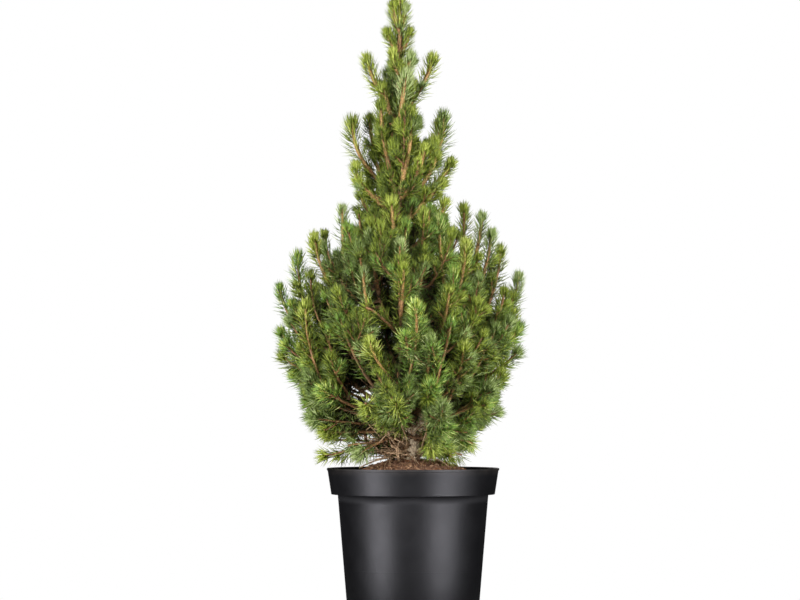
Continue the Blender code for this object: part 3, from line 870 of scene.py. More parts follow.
    def shown_shoot(self, row: tuple[float, ...], seed: int) -> Shoot:
        """A shoot of the portrait, set along the viewer's lines of sight at its depth.

        Args:
            row: Its row of the portrait's shoots.
            seed: Its own seed.

        Returns:
            The shoot.
        """
        tip, bend, foot = (np.array((row[i] / 1000, 0.0, row[i + 1] / 1000)) for i in (0, 2, 4))
        near, size, tone = row[6:]
        room = math.sqrt(max(crown_reach(tip[2]) ** 2 - (tip[0] - CROWN_X) ** 2, 0)) - 0.006
        inward = float(self.shown_inward.at(foot[2]))
        depths = (-near * max(room, 0) * share for share in (1.0, 0.5 + inward * 0.6, inward))
        tip, bend, foot = (along_sight(place, depth) for place, depth in zip((tip, bend, foot), depths))
        end = tip - unit(tip - bend) * self.tuft_height * size
        girth = float(self.shown_girth.at(tip[2]))
        radii = (radius * girth for radius in self.shown_radii)
        return Shoot(Bend(foot, bend, end), *radii, 0.0, Rank.UPRIGHT, 0.5, seed, size, tone, tuft=1.0)

    def filling(self) -> list[Shoot]:
        """The upright shoots that fill the crown behind and between those of the portrait.

        Returns:
            The shoots of every layer that keep out of the openings.
        """
        chance = random.Random(self.seed)
        tips = [self.shown_shoot(row, 0).bend.end for row in self.shown]
        made = []
        for layer in self.layers:
            count = len(tips)
            tips = self.spread_tips(tips, chance, layer)
            made += [self.upright(tip, chance, layer.first_seed + index, chance.uniform(*layer.tones),
                                  layer.tuft)
                     for index, tip in enumerate(tips[count:])]
        shares = np.array((0.3, 0.65, 1.0))
        return [shoot for shoot in made if not self.closed(shoot.bend.places(shares))]

    def spread_tips(self, tips: list[ndarray], chance: random.Random, layer: Layer) -> list[ndarray]:
        """Adds tips by chance between two depths of the crown, none too near to another.

        The portrait's own shoots make its outline and its front, so none of these may reach either.

        Args:
            tips: The tips that are already there.
            chance: Where the numbers come from.
            layer: The layer that is spread.

        Returns:
            The old tips with the new ones after.
        """
        found = np.array(tips)
        for _ in range(layer.tries):
            height = chance.uniform(*self.filling_heights)
            angle = chance.uniform(0, math.tau)
            share = chance.uniform(*layer.depths)
            reach = crown_reach(height)
            across, back = reach * share * math.cos(angle), reach * share * math.sin(angle)
            in_outline = abs(across) > float(self.filling_width.at(height)) * reach
            in_front = share > self.front[0] and back < self.front[1] * reach
            before_spire = height > self.spire_front[0] and back < self.spire_front[1] * reach
            if in_outline or in_front or before_spire:
                continue
            tip = np.array((CROWN_X + across, back, height))
            if np.linalg.norm(found - tip, axis=1).min() > layer.spacing:
                found = np.vstack((found, tip))
        return list(found)

    def upright(self, tip: ndarray, chance: random.Random, seed: int, tone: float,
                tuft: float) -> Shoot:
        """One shoot that leans outwards as its place in the crown asks and ends at the tip.

        Args:
            tip: Where its needles end.
            chance: Where the numbers come from.
            seed: Its own seed.
            tone: How light its greens are.
            tuft: How full its tuft is.

        Returns:
            The shoot.
        """
        lean = math.radians(self.lean.at(tip[2]) + chance.gauss(0, self.lean_jitter))
        out = unit((tip - trunk_axis(tip[2])) * (1, 1, 0))
        sway = np.array([chance.gauss(0, self.sway), chance.gauss(0, self.sway), 0.0])
        direction = unit(out * math.sin(lean) + UP * math.cos(lean) + sway)
        length = self.filling_length.at(tip[2]) * chance.uniform(*self.filling_scales)
        end = tip - direction * self.tuft_height
        foot = end - unit(direction + out * self.foot_outward) * length
        size = chance.uniform(*self.filling_sizes)
        bend = Bend(foot, end - direction * length * 0.55, end)
        return Shoot(bend, *self.filling_radii, 0.0, Rank.UPRIGHT, 0.5, seed, size, tone, tuft)

    def add_upright(self, shoot: Shoot, wood: ndarray) -> None:
        """Joins an upright shoot to the nearest wood below it, and gives it side twigs.

        Args:
            shoot: The shoot.
            wood: Places on the trunk, limbs and branches.
        """
        foot = shoot.bend.start
        uphill = self.uphill_cost * np.maximum(wood[:, 2] - foot[2], 0)
        away = np.linalg.norm(wood - foot, axis=1) + uphill
        start = wood[int(np.argmin(away))]
        gap = float(np.linalg.norm(foot - start))
        if gap > self.shortest_link:
            bend = Bend(start, foot - shoot.bend.direction(0.0) * gap * 0.5, foot)
            self.shoots.append(Shoot(bend, self.link_radius, shoot.foot_radius, 0.12, Rank.LINK, 0.3,
                                     shoot.seed + 1, shoot.size, shoot.tone + self.link_tone, tuft=0.0))
        self.shoots.append(shoot)
        low, bright = self.upright_twigs
        count = 4 if shoot.bend.end[2] < low else 2 if shoot.tone < bright else 1
        self.shoots += self.twigs(shoot, count, self.upright_twig_scale)

    def bare_twigs(self) -> list[Shoot]:
        """Dead twigs round the foot of the trunk, long bare of needles.

        Returns:
            The twigs.
        """
        chance = random.Random(self.seed + 1)
        made = []
        for index in range(self.dead_twigs):
            height = self.dead_foot + self.dead_spread * chance.random() ** 1.5
            turn = chance.uniform(0, math.tau)
            out = np.array((math.cos(turn), math.sin(turn), 0.0))
            start = trunk_axis(height) + out * chance.uniform(0.002, 0.026) - (0, self.dead_nearer, 0)
            length = chance.uniform(*self.dead_lengths)
            stray = np.array([[chance.gauss(0, 0.5), chance.gauss(0, 0.5), 0] for _ in range(2)])
            first = unit(out + UP * chance.uniform(-0.2, 1.0) + stray[0])
            second = unit(first + UP * chance.uniform(-0.9, 1.1) + stray[1] * 1.2)
            middle = start + first * length * 0.5
            end = middle + second * length * 0.5
            if self.trunk_view.covers(np.array((middle, end))).any():
                continue
            lowest = soil_height(math.hypot(end[0], end[1])) + 0.0015
            end[2] = max(end[2], lowest)
            middle[2] = max(middle[2], lowest)
            radius = chance.uniform(*self.dead_radii)
            made.append(Shoot(Bend(start, middle, end), radius, radius * 0.5, 1.0, Rank.BARE, 0.0,
                              50_000 + index, tuft=0.0))
        return made


@dataclass(frozen=True)
class Habit:
    """How needles of one age stand on their twig, and the greens of each cast, dark to light.

    A needle takes two greens that stand side by side: the darker at its foot, the lighter at its tip.
    """

    per_metre: float
    width: float
    greens: tuple[tuple[Green, ...], ...]

    def palette(self) -> tuple[Green, ...]:
        """The greens of every cast in one row."""
        return tuple(green for cast in self.greens for green in cast)


def casts(*rows: str) -> tuple[tuple[Green, ...], ...]:
    """The greens of each cast, out of a row of their names."""
    return tuple(tuple(Green[name.upper()] for name in row.split()) for row in rows)


HABITS = {
    Age.TUFT: Habit(0, 0.00099, casts("dark forest green leaf fresh bright lime",
                                      "forest blue sea sea fresh bright pale",
                                      "forest dusty dusty grey grey silver silver")),
    Age.FRESH: Habit(3900, 0.00097, casts("deep dark forest green leaf fresh lime",
                                          "deep forest blue sea sea fresh pale",
                                          "dark ash dusty dusty grey silver silver")),
    Age.MATURE: Habit(2500, 0.00100, casts("umber deep dark forest green leaf fresh",
                                           "umber deep dark blue sea sea pale",
                                           "umber ash ash dusty dusty grey silver")),
    # painted shade: the inner needles' shadow greens stand for the shade inside the crown, the rest are the
    # duller greens of older needles
    Age.INNER: Habit(1150, 0.00130, casts("shadow shadow shadow umber deep dark forest",
                                          "shadow shadow shadow umber deep dark blue",
                                          "shadow shadow umber umber ash ash dusty")),
}


@dataclass
class Foliage:
    """Clothes every shoot of the crown in needles, spray by spray.

    lightness_and_painted_light, dusty, blue, upper, reach and pull are read by the height of a shoot's tip,
    stand_off, growth and thinning by how far below the tip a needle stands, and openness by how steeply
    the tip rises. The lightness by height is painted light: greens lighter on the top of the crown and
    darker low down, and top_inner, which spares the top's inside the darkest greens, paints light there
    too. Upper is one on the top of the crown, and the numbers named for the top say how much it adds
    there. Hugging is the share of needles that lie close to the twig, and how close.
    """

    crown: Crown
    needle_length: float = 0.0130
    spray_length: float = 0.012
    tuft_needles: int = 62
    tuft_depth: float = 0.0080
    tuft_lengths: Pair = (0.0060, 0.0126)
    # painted light: greens lighter towards the top of the crown and darker low down, as the light falls
    lightness_and_painted_light: Ramp = Ramp((0.18, 0.21, 0.23, 0.35, 0.5), (0.5, 0.1, -0.6, -0.1, 0.45))
    dusty: Ramp = Ramp((0.18, 0.21, 0.26, 0.45, 0.60), (0.60, 0.42, 0.20, 0.16, 0.26))
    blue: Ramp = Ramp((0.24, 0.32, 0.42, 0.50), (0.50, 0.32, 0.30, 0.04))
    upper: Ramp = Ramp((0.36, 0.48), (0.0, 1.0))
    reach: Ramp = Ramp((0.24, 0.34, 0.46), (1.30, 1.14, 1.08))
    pull: Ramp = Ramp((0.22, 0.32), (-0.06, 0.10))
    stand_off: Ramp = Ramp((0.0, 0.006, 0.014, 0.028, 0.050), (20, 34, 48, 61, 71))
    growth: Ramp = Ramp((0.0, 0.008, 0.030), (0.72, 0.98, 1.08))
    thinning: Pair = (0.013, 0.028)
    openness: Ramp = Ramp((0.1, 0.8), (28, 0))
    tuft_angles: Pair = (4, 33)
    inner_depth: float = 0.62
    fresh_depth: float = 0.70
    fresh_length: float = 0.030
    top_density: float = 0.45
    top_fresh: float = 0.014
    # painted light: the top's inside is spared the darkest greens, so it reads lighter
    top_inner: float = -0.4
    top_thinning: float = -0.52
    top_upright: float = 0.35
    hugging: Pair = (0.34, 0.55)
    shoot_jitter: float = 0.35
    spray_jitter: float = 0.5
    needle_jitter: float = 1.3
    angle_jitter: float = 10
    kept_in_openings: float = 0.2

    def needles(self) -> dict[Age, Copies]:
        """Every needle of the crown, by age.

        Returns:
            The needles of each age.
        """
        parts: dict[Age, list[Copies]] = {age: [] for age in Age}
        for shoot in self.crown.shoots:
            if shoot.rank is Rank.BARE:
                continue
            chance = np.random.default_rng(shoot.seed)
            lightness_and_painted_light = shoot.tone * 0.7 + chance.normal(0, self.shoot_jitter)
            lightness_and_painted_light += self.lightness_and_painted_light.at(shoot.bend.end[2])
            cast = self.cast(float(shoot.bend.end[2]), chance)
            for age, copies in self.sides(shoot, chance, lightness_and_painted_light, cast):
                parts[age].append(copies)
            if shoot.tuft:
                age = Age.TUFT if shoot.rank is Rank.UPRIGHT else Age.FRESH
                age = Age.MATURE if shoot.depth() < self.inner_depth else age
                parts[age].append(self.tuft(shoot, chance, lightness_and_painted_light, cast, age))
        return {age: self.opened(Copies.gathered(found)) for age, found in parts.items()}

    def cast(self, height: float, chance: np.random.Generator) -> Cast:
        """The cast of a shoot: dusty or blue more often low in the crown.

        Args:
            height: The height of the shoot's tip.
            chance: Where the numbers come from.

        Returns:
            The cast.
        """
        draw = chance.random()
        dusty = self.dusty.at(height)
        if draw < dusty:
            return Cast.DUSTY
        return Cast.BLUE if draw < dusty + (1 - dusty) * self.blue.at(height) else Cast.OLIVE

    def opened(self, copies: Copies) -> Copies:
        """The needles without most of those that would fill an opening.

        Args:
            copies: Needles.

        Returns:
            Those that are kept.
        """
        middles = copies.place + copies.along * copies.length[:, None] * 0.5
        hidden = np.zeros(len(middles), bool)
        for opening in self.crown.openings:
            hidden |= opening.covers(middles)
        kept = np.random.default_rng(5).random(len(middles)) < self.kept_in_openings
        return copies.chosen(~hidden | kept)

    def sides(self, shoot: Shoot, chance: np.random.Generator, lightness_and_painted_light: float,
              cast: Cast) -> list[tuple[Age, Copies]]:
        """The needles along a shoot, in sprays that each have an age and a tone.

        Args:
            shoot: The shoot.
            chance: Where the numbers come from.
            lightness_and_painted_light: How light the shoot's greens are, with painted light that grows
                with height.
            cast: Which way they lean.

        Returns:
            Needles with the age that they share.
        """
        length = shoot.bend.length()
        run = length * (1 - shoot.needled_from)
        upper = float(self.upper.at(shoot.bend.end[2]))
        densest = int(run * HABITS[Age.FRESH].per_metre * (1 + self.top_density * upper))
        if densest < 3:
            return []
        shares = 1 - (1 - shoot.needled_from) * (np.arange(densest) + chance.random(densest)) / densest
        below = (1 - shares) * length
        depth = crown_depth(shoot.bend.places(shares)) * 0.5 + shoot.depth() * 0.5
        near_tip = below < self.fresh_length + self.top_fresh * upper
        fresh = near_tip & (depth > self.fresh_depth) & (shoot.rank is Rank.UPRIGHT)
        ages = np.where(depth < self.inner_depth + self.top_inner * upper, 2, np.where(fresh, 0, 1))
        sprays = (below / self.spray_length).astype(int)
        spray_lightness_and_painted_light = chance.normal(0, self.spray_jitter, sprays.max() + 1)[sprays] + lightness_and_painted_light
        thinned = np.interp(below, self.thinning, (1.0, 1.0 + self.top_thinning * upper))
        keep = chance.random(densest) / thinned
        rolls = np.arange(densest) * GOLDEN_TURN + chance.normal(0, 0.35, densest)
        made = []
        for index, age in enumerate((Age.FRESH, Age.MATURE, Age.INNER)):
            habit = HABITS[age]
            rows = (ages == index) & (keep < habit.per_metre / HABITS[Age.FRESH].per_metre)
            if not rows.any():
                continue
            angles = self.stand_off.at(below[rows] / (1 + self.top_upright * upper))
            angles = angles * np.where(chance.random(rows.sum()) < self.hugging[0], self.hugging[1], 1.0)
            sizes = self.growth.at(below[rows]) * self.reached(shoot)
            copies = self.placed(shoot, shares[rows], rolls[rows], angles, sizes, chance)
            copies.width *= habit.width
            copies.tone = self.tones(spray_lightness_and_painted_light[rows], cast, age, chance)
            made.append((age, copies))
        return made

    def reached(self, shoot: Shoot) -> float:
        """The length of a shoot's needles, longer low in the crown."""
        return self.needle_length * float(self.reach.at(shoot.bend.end[2]))

    def tuft(self, shoot: Shoot, chance: np.random.Generator, lightness_and_painted_light: float, cast: Cast,
             age: Age) -> Copies:
        """The flat-topped brush of needles that ends a shoot, opener where the shoot lies level.

        Args:
            shoot: The shoot.
            chance: Where the numbers come from.
            lightness_and_painted_light: How light the shoot's greens are, with painted light that grows
                with height.
            cast: Which way they lean.
            age: The age of the needles.

        Returns:
            The needles.
        """
        count = int(self.tuft_needles * shoot.tuft * chance.uniform(0.85, 1.15))
        below = self.tuft_depth * shoot.size * chance.random(count)
        shares = 1 - below / shoot.bend.length()
        rolls = np.arange(count) * GOLDEN_TURN + chance.normal(0, 0.3, count)
        openness = self.openness.at(shoot.bend.direction(1.0)[2])
        steepest, spread = self.tuft_angles
        angles = steepest + openness + spread * (below / (self.tuft_depth * shoot.size)) ** 0.8
        sizes = np.clip(below + self.tuft_lengths[0], None, self.tuft_lengths[1]) * (1 + openness / 110)
        copies = self.placed(shoot, shares, rolls, angles, sizes, chance)
        copies.width *= HABITS[age].width
        copies.tone = self.tones(np.full(count, lightness_and_painted_light * 0.8), cast, age, chance)
        return copies

    def tones(self, spray_lightness_and_painted_light: ndarray, cast: Cast, age: Age, chance: np.random.Generator) -> ndarray:
        """The number of each needle's green, dealt out by the lightness of its spray, which holds painted
        light by height.

        Args:
            spray_lightness_and_painted_light: How light each needle's spray is, painted light by height
                included.
            cast: Which way they lean.
            age: The age of the needles.
            chance: Where the numbers come from.

        Returns:
            Numbers into the age's row of greens.
        """
        most = len(HABITS[age].greens[0]) - 2
        tone = np.round(most / 2 + spray_lightness_and_painted_light + chance.normal(0, self.needle_jitter, len(spray_lightness_and_painted_light)))
        return (np.clip(tone, 0, most) + cast.value * (most + 2)).astype(int)

    def placed(self, shoot: Shoot, shares: ndarray, rolls: ndarray, angles: ndarray,
               sizes: ndarray, chance: np.random.Generator) -> Copies:
        """Needles at shares of a shoot.

        Args:
            shoot: The shoot.
            shares: Where on it each needle stands.
            rolls: Which way round it each one points.
            angles: How far each one stands off from it, in degrees.
            sizes: The length of each.
            chance: Where the numbers come from.

        Returns:
            The needles, with a width of about one and no tone yet.
        """
        count = len(shares)
        along = shoot.bend.directions(shares)
        first = square_to(along, shoot.bend.cross_axis())
        radial = np.cos(rolls)[:, None] * first + np.sin(rolls)[:, None] * np.cross(along, first)
        angle = np.radians(angles + chance.normal(0, self.angle_jitter, count))[:, None]
        pull = UP * self.pull.at(shoot.bend.end[2])
        pointing = unit(np.cos(angle) * along + np.sin(angle) * radial + pull)
        place = shoot.bend.places(shares) + radial * shoot.radius(shares)[:, None] * 0.6
        length = sizes * shoot.size * chance.uniform(0.84, 1.10, count)
        bow = square_to(pointing, -along) * (length * chance.uniform(0.03, 0.11, count))[:, None]
        side = square_to(pointing, unit(chance.normal(size=(count, 3))))
        return Copies(place, pointing, side, length, chance.uniform(0.85, 1.15, count), bow,
                      np.zeros(count, int))


# Meshes

def settle(piece: Object, slot: Slot, *nodes: str) -> Object:
    """Lets a finished piece ride on the part and stand for its solids.

    Args:
        piece: The finished object.
        slot: Its material slot; not used.
        nodes: The solids that it stands for.

    Returns:
        The same object.
    """
    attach(piece, "root")
    if nodes:
        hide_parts(*nodes)
    faces = sum(len(polygon.vertices) - 2 for polygon in piece.data.polygons)
    LOG.info("%s: %d triangles", piece.name, faces)
    return piece


def object_of(name: str, mesh: Mesh, materials: Iterable[Material]) -> Object:
    """A new object of a mesh with its materials, in the scene.

    Args:
        name: The piece's name.
        mesh: Its mesh.
        materials: Its materials.

    Returns:
        The object.
    """
    made = bpy.data.objects.new(name, mesh)
    for material in materials:
        mesh.materials.append(material)
    bpy.context.scene.collection.objects.link(made)
    return made


def mesh_of(name: str, shape: BMesh) -> Mesh:
    """A smoothly shaded mesh out of a shape, which is freed.

    Args:
        name: The mesh's name.
        shape: The shape.

    Returns:
        The mesh.
    """
    mesh = bpy.data.meshes.new(name)
    for face in shape.faces:
        face.smooth = True
    shape.to_mesh(mesh)
    shape.free()
    return mesh


def joined(name: str, corners: ndarray, faces: ndarray, slots: ndarray,
           materials: list[Material], smooth: bool = True) -> Object:
    """One object out of arrays of corners and triangles.

    Args:
        name: The piece's name.
        corners: Every corner, one to a row.
        faces: Three corner numbers to a row.
        slots: The material's number for each face.
        materials: The materials, in the order of their numbers.
        smooth: Whether the faces are shaded as one rounded surface.

    Returns:
        The object, linked to the scene.
    """
    mesh = bpy.data.meshes.new(name)
    mesh.vertices.add(len(corners))
    mesh.vertices.foreach_set("co", corners.astype(np.float32).ravel())
    mesh.loops.add(faces.size)
    mesh.loops.foreach_set("vertex_index", faces.astype(np.int32).ravel())
    mesh.polygons.add(len(faces))
    mesh.polygons.foreach_set("loop_start", np.arange(0, faces.size, 3, dtype=np.int32))
    mesh.polygons.foreach_set("use_smooth", np.full(len(faces), smooth))
    piece = object_of(name, mesh, materials)
    mesh.polygons.foreach_set("material_index", slots.astype(np.int32))
    mesh.update(calc_edges=True)
    mesh.validate()
    return piece


@dataclass
class Repeats:
    """Joins the copies of a stamp into pieces under the limit of triangles."""

    name: str
    stamp: Stamp
    materials: list[Material]
    shades: ndarray | None = None
    smooth: bool = True

    def pieces(self, copies: Copies) -> list[Object]:
        """The joined pieces, numbered where there are several.

        Args:
            copies: Where the copies go.

        Returns:
            One object for each piece.
        """
        per_copy = len(self.stamp.faces)
        most = MOST_TRIANGLES // per_copy
        count = len(copies.length)
        parts = max(1, math.ceil(count / most))
        made = []
        for part in range(parts):
            rows = slice(count * part // parts, count * (part + 1) // parts)
            some = copies.chosen(rows)
            corners = some.corners(self.stamp)
            offsets = np.arange(len(corners))[:, None, None] * len(self.stamp.corners)
            faces = (self.stamp.faces[None] + offsets).reshape(-1, 3)
            shades = np.zeros(per_copy, int) if self.shades is None else self.shades
            slots = (some.tone[:, None] + shades[None]).ravel()
            name = self.name if parts == 1 else f"{self.name}_{part + 1}"
            made.append(joined(name, corners.reshape(-1, 3), faces, slots, self.materials, self.smooth))
        return made


@dataclass
class Limb:
    """A woody limb with its bark in relief, swept ring by ring along a path."""

    places: list[ndarray]
    radii: list[float]
    sides: int
    relief: float
    grain: float

    def shape(self) -> BMesh:
        """The closed limb, with flakes and furrows raised on it.

        Returns:
            The shape, closed at both ends.
        """
        shape = bmesh.new()
        points = [Vector(place) for place in self.places]
        headings = [(points[min(i + 1, len(points) - 1)] - points[max(i - 1, 0)]).normalized()
                    for i in range(len(points))]
        turn = headings[0].to_track_quat("Z", "Y")
        before = self.frame(points[0], turn, self.radii[0])
        circle = bmesh.ops.create_circle(shape, cap_ends=False, segments=self.sides, radius=1,
                                         matrix=before)["verts"]
        ring = ring_of(circle)
        for index in range(1, len(points)):
            turn = headings[index - 1].rotation_difference(headings[index]) @ turn
            after = self.frame(points[index], turn, self.radii[index])
            ring, corners = next_ring(shape, ring)
            bmesh.ops.transform(shape, matrix=after @ before.inverted(), verts=corners)
            before = after
        bmesh.ops.holes_fill(shape, edges=shape.edges)
        bmesh.ops.recalc_face_normals(shape, faces=shape.faces)
        self.raise_bark(shape)
        return shape

    def frame(self, place: Vector, turn: Quaternion, radius: float) -> Matrix:
        """The matrix of one ring."""
        return Matrix.Translation(place) @ turn.to_matrix().to_4x4() @ Matrix.Scale(radius, 4)

    def raise_bark(self, shape: BMesh) -> None:
        """Moves the surface in and out by long flakes with furrows between them.

        Args:
            shape: The smooth limb.
        """
        shape.normal_update()
        for vertex in shape.verts:
            spot = Vector((vertex.co.x, vertex.co.y, vertex.co.z * 0.45)) / self.grain
            flake = noise.fractal(spot, 0.8, 2.1, 4)
            furrow = 1 - abs(noise.noise(spot * 0.8 + Vector((7, 3, 1)))) * 2.4
            vertex.co += vertex.normal * self.relief * (flake * 0.9 - max(furrow, 0) ** 3 * 0.7)


Given = NodeSocket | float | tuple[float, ...]


@dataclass
class Graph:
    """A short way to lay out the nodes of a material or a group."""

    tree: NodeTree

    def add(self, kind: str, settings: dict[str, object] | None = None, **inputs: Given) -> Node:
        """Adds a node.

        Args:
            kind: The node's type, without its ShaderNode prefix.
            settings: Properties of the node by name.
            inputs: Values, or sockets to link, by input name with _ for a space. A name that
                starts with at and a number counts the inputs instead.

        Returns:
            The node.
        """
        node = self.tree.nodes.new(f"ShaderNode{kind}")
        for name, value in (settings or {}).items():
            setattr(node, name, value)
        for name, value in inputs.items():
            key = int(name[2:]) if name.startswith("at") and name[2:].isdigit() else name.replace("_", " ")
            if isinstance(value, NodeSocket):
                self.link(value, node.inputs[key])
            else:
                node.inputs[key].default_value = value
        return node

    def link(self, socket: NodeSocket, target: NodeSocket) -> None:
        """Links one socket to another."""
        self.tree.links.new(socket, target)

    def blend(self, share: Given, first: Given, second: Given) -> NodeSocket:
        """A colour between two by a share."""
        node = self.add("Mix", {"data_type": "RGBA"}, at0=share, at6=first, at7=second)
        return node.outputs[2]

    def times(self, first: Given, second: Given) -> NodeSocket:
        """The product of two values."""
        return self.add("Math", {"operation": "MULTIPLY"}, at0=first, at1=second).outputs[0]

    def ranged(self, value: Given, low: float, high: float, to_low: float = 0.0,
               to_high: float = 1.0) -> NodeSocket:
        """A value moved from one range to another and held inside it."""
        return self.add("MapRange", None, Value=value, From_Min=low, From_Max=high, To_Min=to_low,
                        To_Max=to_high).outputs[0]


def rgba(colour: Triple) -> tuple[float, float, float, float]:
    """The colour with full alpha, as a socket takes it."""
    return (*colour, 1.0)


class Effects:
    """Shader effects that several materials share, each built once as a node group."""

    @staticmethod
    def group(name: str, inputs: dict[str, float],
              outputs: Iterable[str]) -> tuple[Graph, Node, Node]:
        """An empty group with named inputs and outputs.

        Args:
            name: The group's name.
            inputs: Each input with its usual value.
            outputs: The names of the outputs.

        Returns:
            The group's graph, its input node and its output node.
        """
        tree = bpy.data.node_groups.new(name, "ShaderNodeTree")
        for label, value in inputs.items():
            socket = tree.interface.new_socket(label, in_out="INPUT", socket_type="NodeSocketFloat")
            socket.default_value = value
        for label in outputs:
            tree.interface.new_socket(label, in_out="OUTPUT", socket_type="NodeSocketFloat")
        return Graph(tree), tree.nodes.new("NodeGroupInput"), tree.nodes.new("NodeGroupOutput")

    @staticmethod
    def stretched(graph: Graph, stretch: NodeSocket) -> NodeSocket:
        """The piece's own coordinates, drawn out along its height.

        Args:
            graph: The graph of the group.
            stretch: By how much height counts.

        Returns:
            The coordinates.
        """
        coordinates = graph.add("TexCoord").outputs["Object"]
        squeeze = graph.add("CombineXYZ", None, X=1.0, Y=1.0, Z=stretch).outputs[0]
        return graph.add("VectorMath", {"operation": "MULTIPLY"}, at0=coordinates, at1=squeeze).outputs[0]

    @classmethod
    def mottle(cls) -> NodeTree:
        """Soft patches: a broad and a fine noise on the piece's own coordinates.

        Returns:
            The group.
        """
        if (known := bpy.data.node_groups.get("mottle")) is not None:
            return known
        graph, given, sent = cls.group("mottle", {"Scale": 60.0, "Fineness": 4.0, "Stretch": 1.0},
                                       ("Patches", "Specks"))
        place = cls.stretched(graph, given.outputs["Stretch"])
        broad = graph.add("TexNoise", None, Vector=place, Scale=given.outputs["Scale"], Detail=3.0,
                          Roughness=0.6)
        finer = graph.times(given.outputs["Scale"], given.outputs["Fineness"])
        fine = graph.add("TexNoise", None, Vector=place, Scale=finer, Detail=2.0, Roughness=0.7)
        graph.link(graph.ranged(broad.outputs[0], 0.3, 0.7), sent.inputs["Patches"])
        graph.link(graph.ranged(fine.outputs[0], 0.3, 0.7), sent.inputs["Specks"])
        return graph.tree

    @classmethod
    def flakes(cls) -> NodeTree:
        """Scaly plates with dark seams between them, for bark.

        Returns:
            The group.
        """
        if (known := bpy.data.node_groups.get("flakes")) is not None:
            return known
        graph, given, sent = cls.group("flakes", {"Scale": 300.0, "Stretch": 0.5}, ("Seams", "Height"))
        place = cls.stretched(graph, given.outputs["Stretch"])
        plates = graph.add("TexVoronoi", {"feature": "DISTANCE_TO_EDGE"}, Vector=place,
                           Scale=given.outputs["Scale"])
        rough = graph.add("TexNoise", None, Vector=place, Scale=given.outputs["Scale"], Detail=4.0)
        seams = graph.ranged(plates.outputs["Distance"], 0.02, 0.14, 1.0, 0.0)
        raised = graph.ranged(plates.outputs["Distance"], 0.0, 0.25)
        height = graph.add("Math", {"operation": "MULTIPLY_ADD"}, at0=rough.outputs[0], at1=0.6,
                           at2=raised).outputs[0]
        graph.link(seams, sent.inputs["Seams"])
        graph.link(height, sent.inputs["Height"])
        return graph.tree


@dataclass(frozen=True)
class Finish:
    """What every finish has: its material's name and how matt it is."""

    name: str
    roughness: float

    def begun(self) -> tuple[Material, Graph, Node]:
        """A material with its shader, and a graph of its nodes.

        Returns:
            The material, its graph and its shader.
        """
        made = bpy.data.materials.new(self.name)
        made.use_nodes = True
        shader = made.node_tree.nodes["Principled BSDF"]
        shader.inputs["Roughness"].default_value = self.roughness
        return made, Graph(made.node_tree), shader


@dataclass(frozen=True)
class NeedleFinish(Finish):
    """One plain green, dealt out by spray, with the soft gloss of a waxy needle."""

    colour: Triple
    gloss: float = 0.36

    def material(self) -> Material:
        """Makes the plain green.

        Returns:
            The finished material.
        """
        made, _, shader = self.begun()
        shader.inputs["Base Color"].default_value = rgba(self.colour)
        shader.inputs["Specular IOR Level"].default_value = self.gloss
        return made


@dataclass(frozen=True)
class BarkFinish(Finish):
    """Flaking bark: a light face, a dark seam and a shade between them."""

    face: Triple
    shade: Triple
    seam: Triple
    scale: float
    stretch: float
    depth: float

    def material(self) -> Material:
        """Makes the bark, light and flaking with dark seams.

        Returns:
            The finished material.
        """
        made, graph, shader = self.begun()
        mottle = graph.add("Group", {"node_tree": Effects.mottle()}, Scale=self.scale * 0.3,
                           Fineness=4.0, Stretch=self.stretch)
        flakes = graph.add("Group", {"node_tree": Effects.flakes()}, Scale=self.scale,
                           Stretch=self.stretch)
        ground = graph.blend(mottle.outputs["Patches"], rgba(self.shade), rgba(self.face))
        colour = graph.blend(graph.times(flakes.outputs["Seams"], 0.8), ground, rgba(self.seam))
        graph.link(colour, shader.inputs["Base Color"])
        matt = graph.ranged(mottle.outputs["Specks"], 0.0, 1.0, self.roughness - 0.1,
                            self.roughness + 0.05)
        graph.link(matt, shader.inputs["Roughness"])
        bump = graph.add("Bump", None, Strength=0.6, Distance=self.depth, Height=flakes.outputs["Height"])
        graph.link(bump.outputs[0], shader.inputs["Normal"])
        return made


@dataclass(frozen=True)
class PeatFinish(Finish):
    """Crumbly reddish peat, with paler fibres and dark damp spots."""

    light: Triple
    dark: Triple
    scale: float = 260.0

    def material(self) -> Material:
        """Makes the peat, mottled and flecked.

        Returns:
            The finished material.
        """
        made, graph, shader = self.begun()
        mottle = graph.add("Group", {"node_tree": Effects.mottle()}, Scale=self.scale, Fineness=5.0,
                           Stretch=1.0)
        ground = graph.blend(mottle.outputs["Patches"], rgba(self.dark), rgba(self.light))
        paler = tuple(min(value * 1.7, 1) for value in self.light)
        flecks = graph.ranged(mottle.outputs["Specks"], 0.72, 0.95)
        colour = graph.blend(flecks, ground, rgba(paler))
        graph.link(colour, shader.inputs["Base Color"])
        bump = graph.add("Bump", None, Strength=0.8, Distance=0.0008, Height=mottle.outputs["Specks"])
        graph.link(bump.outputs[0], shader.inputs["Normal"])
        return made


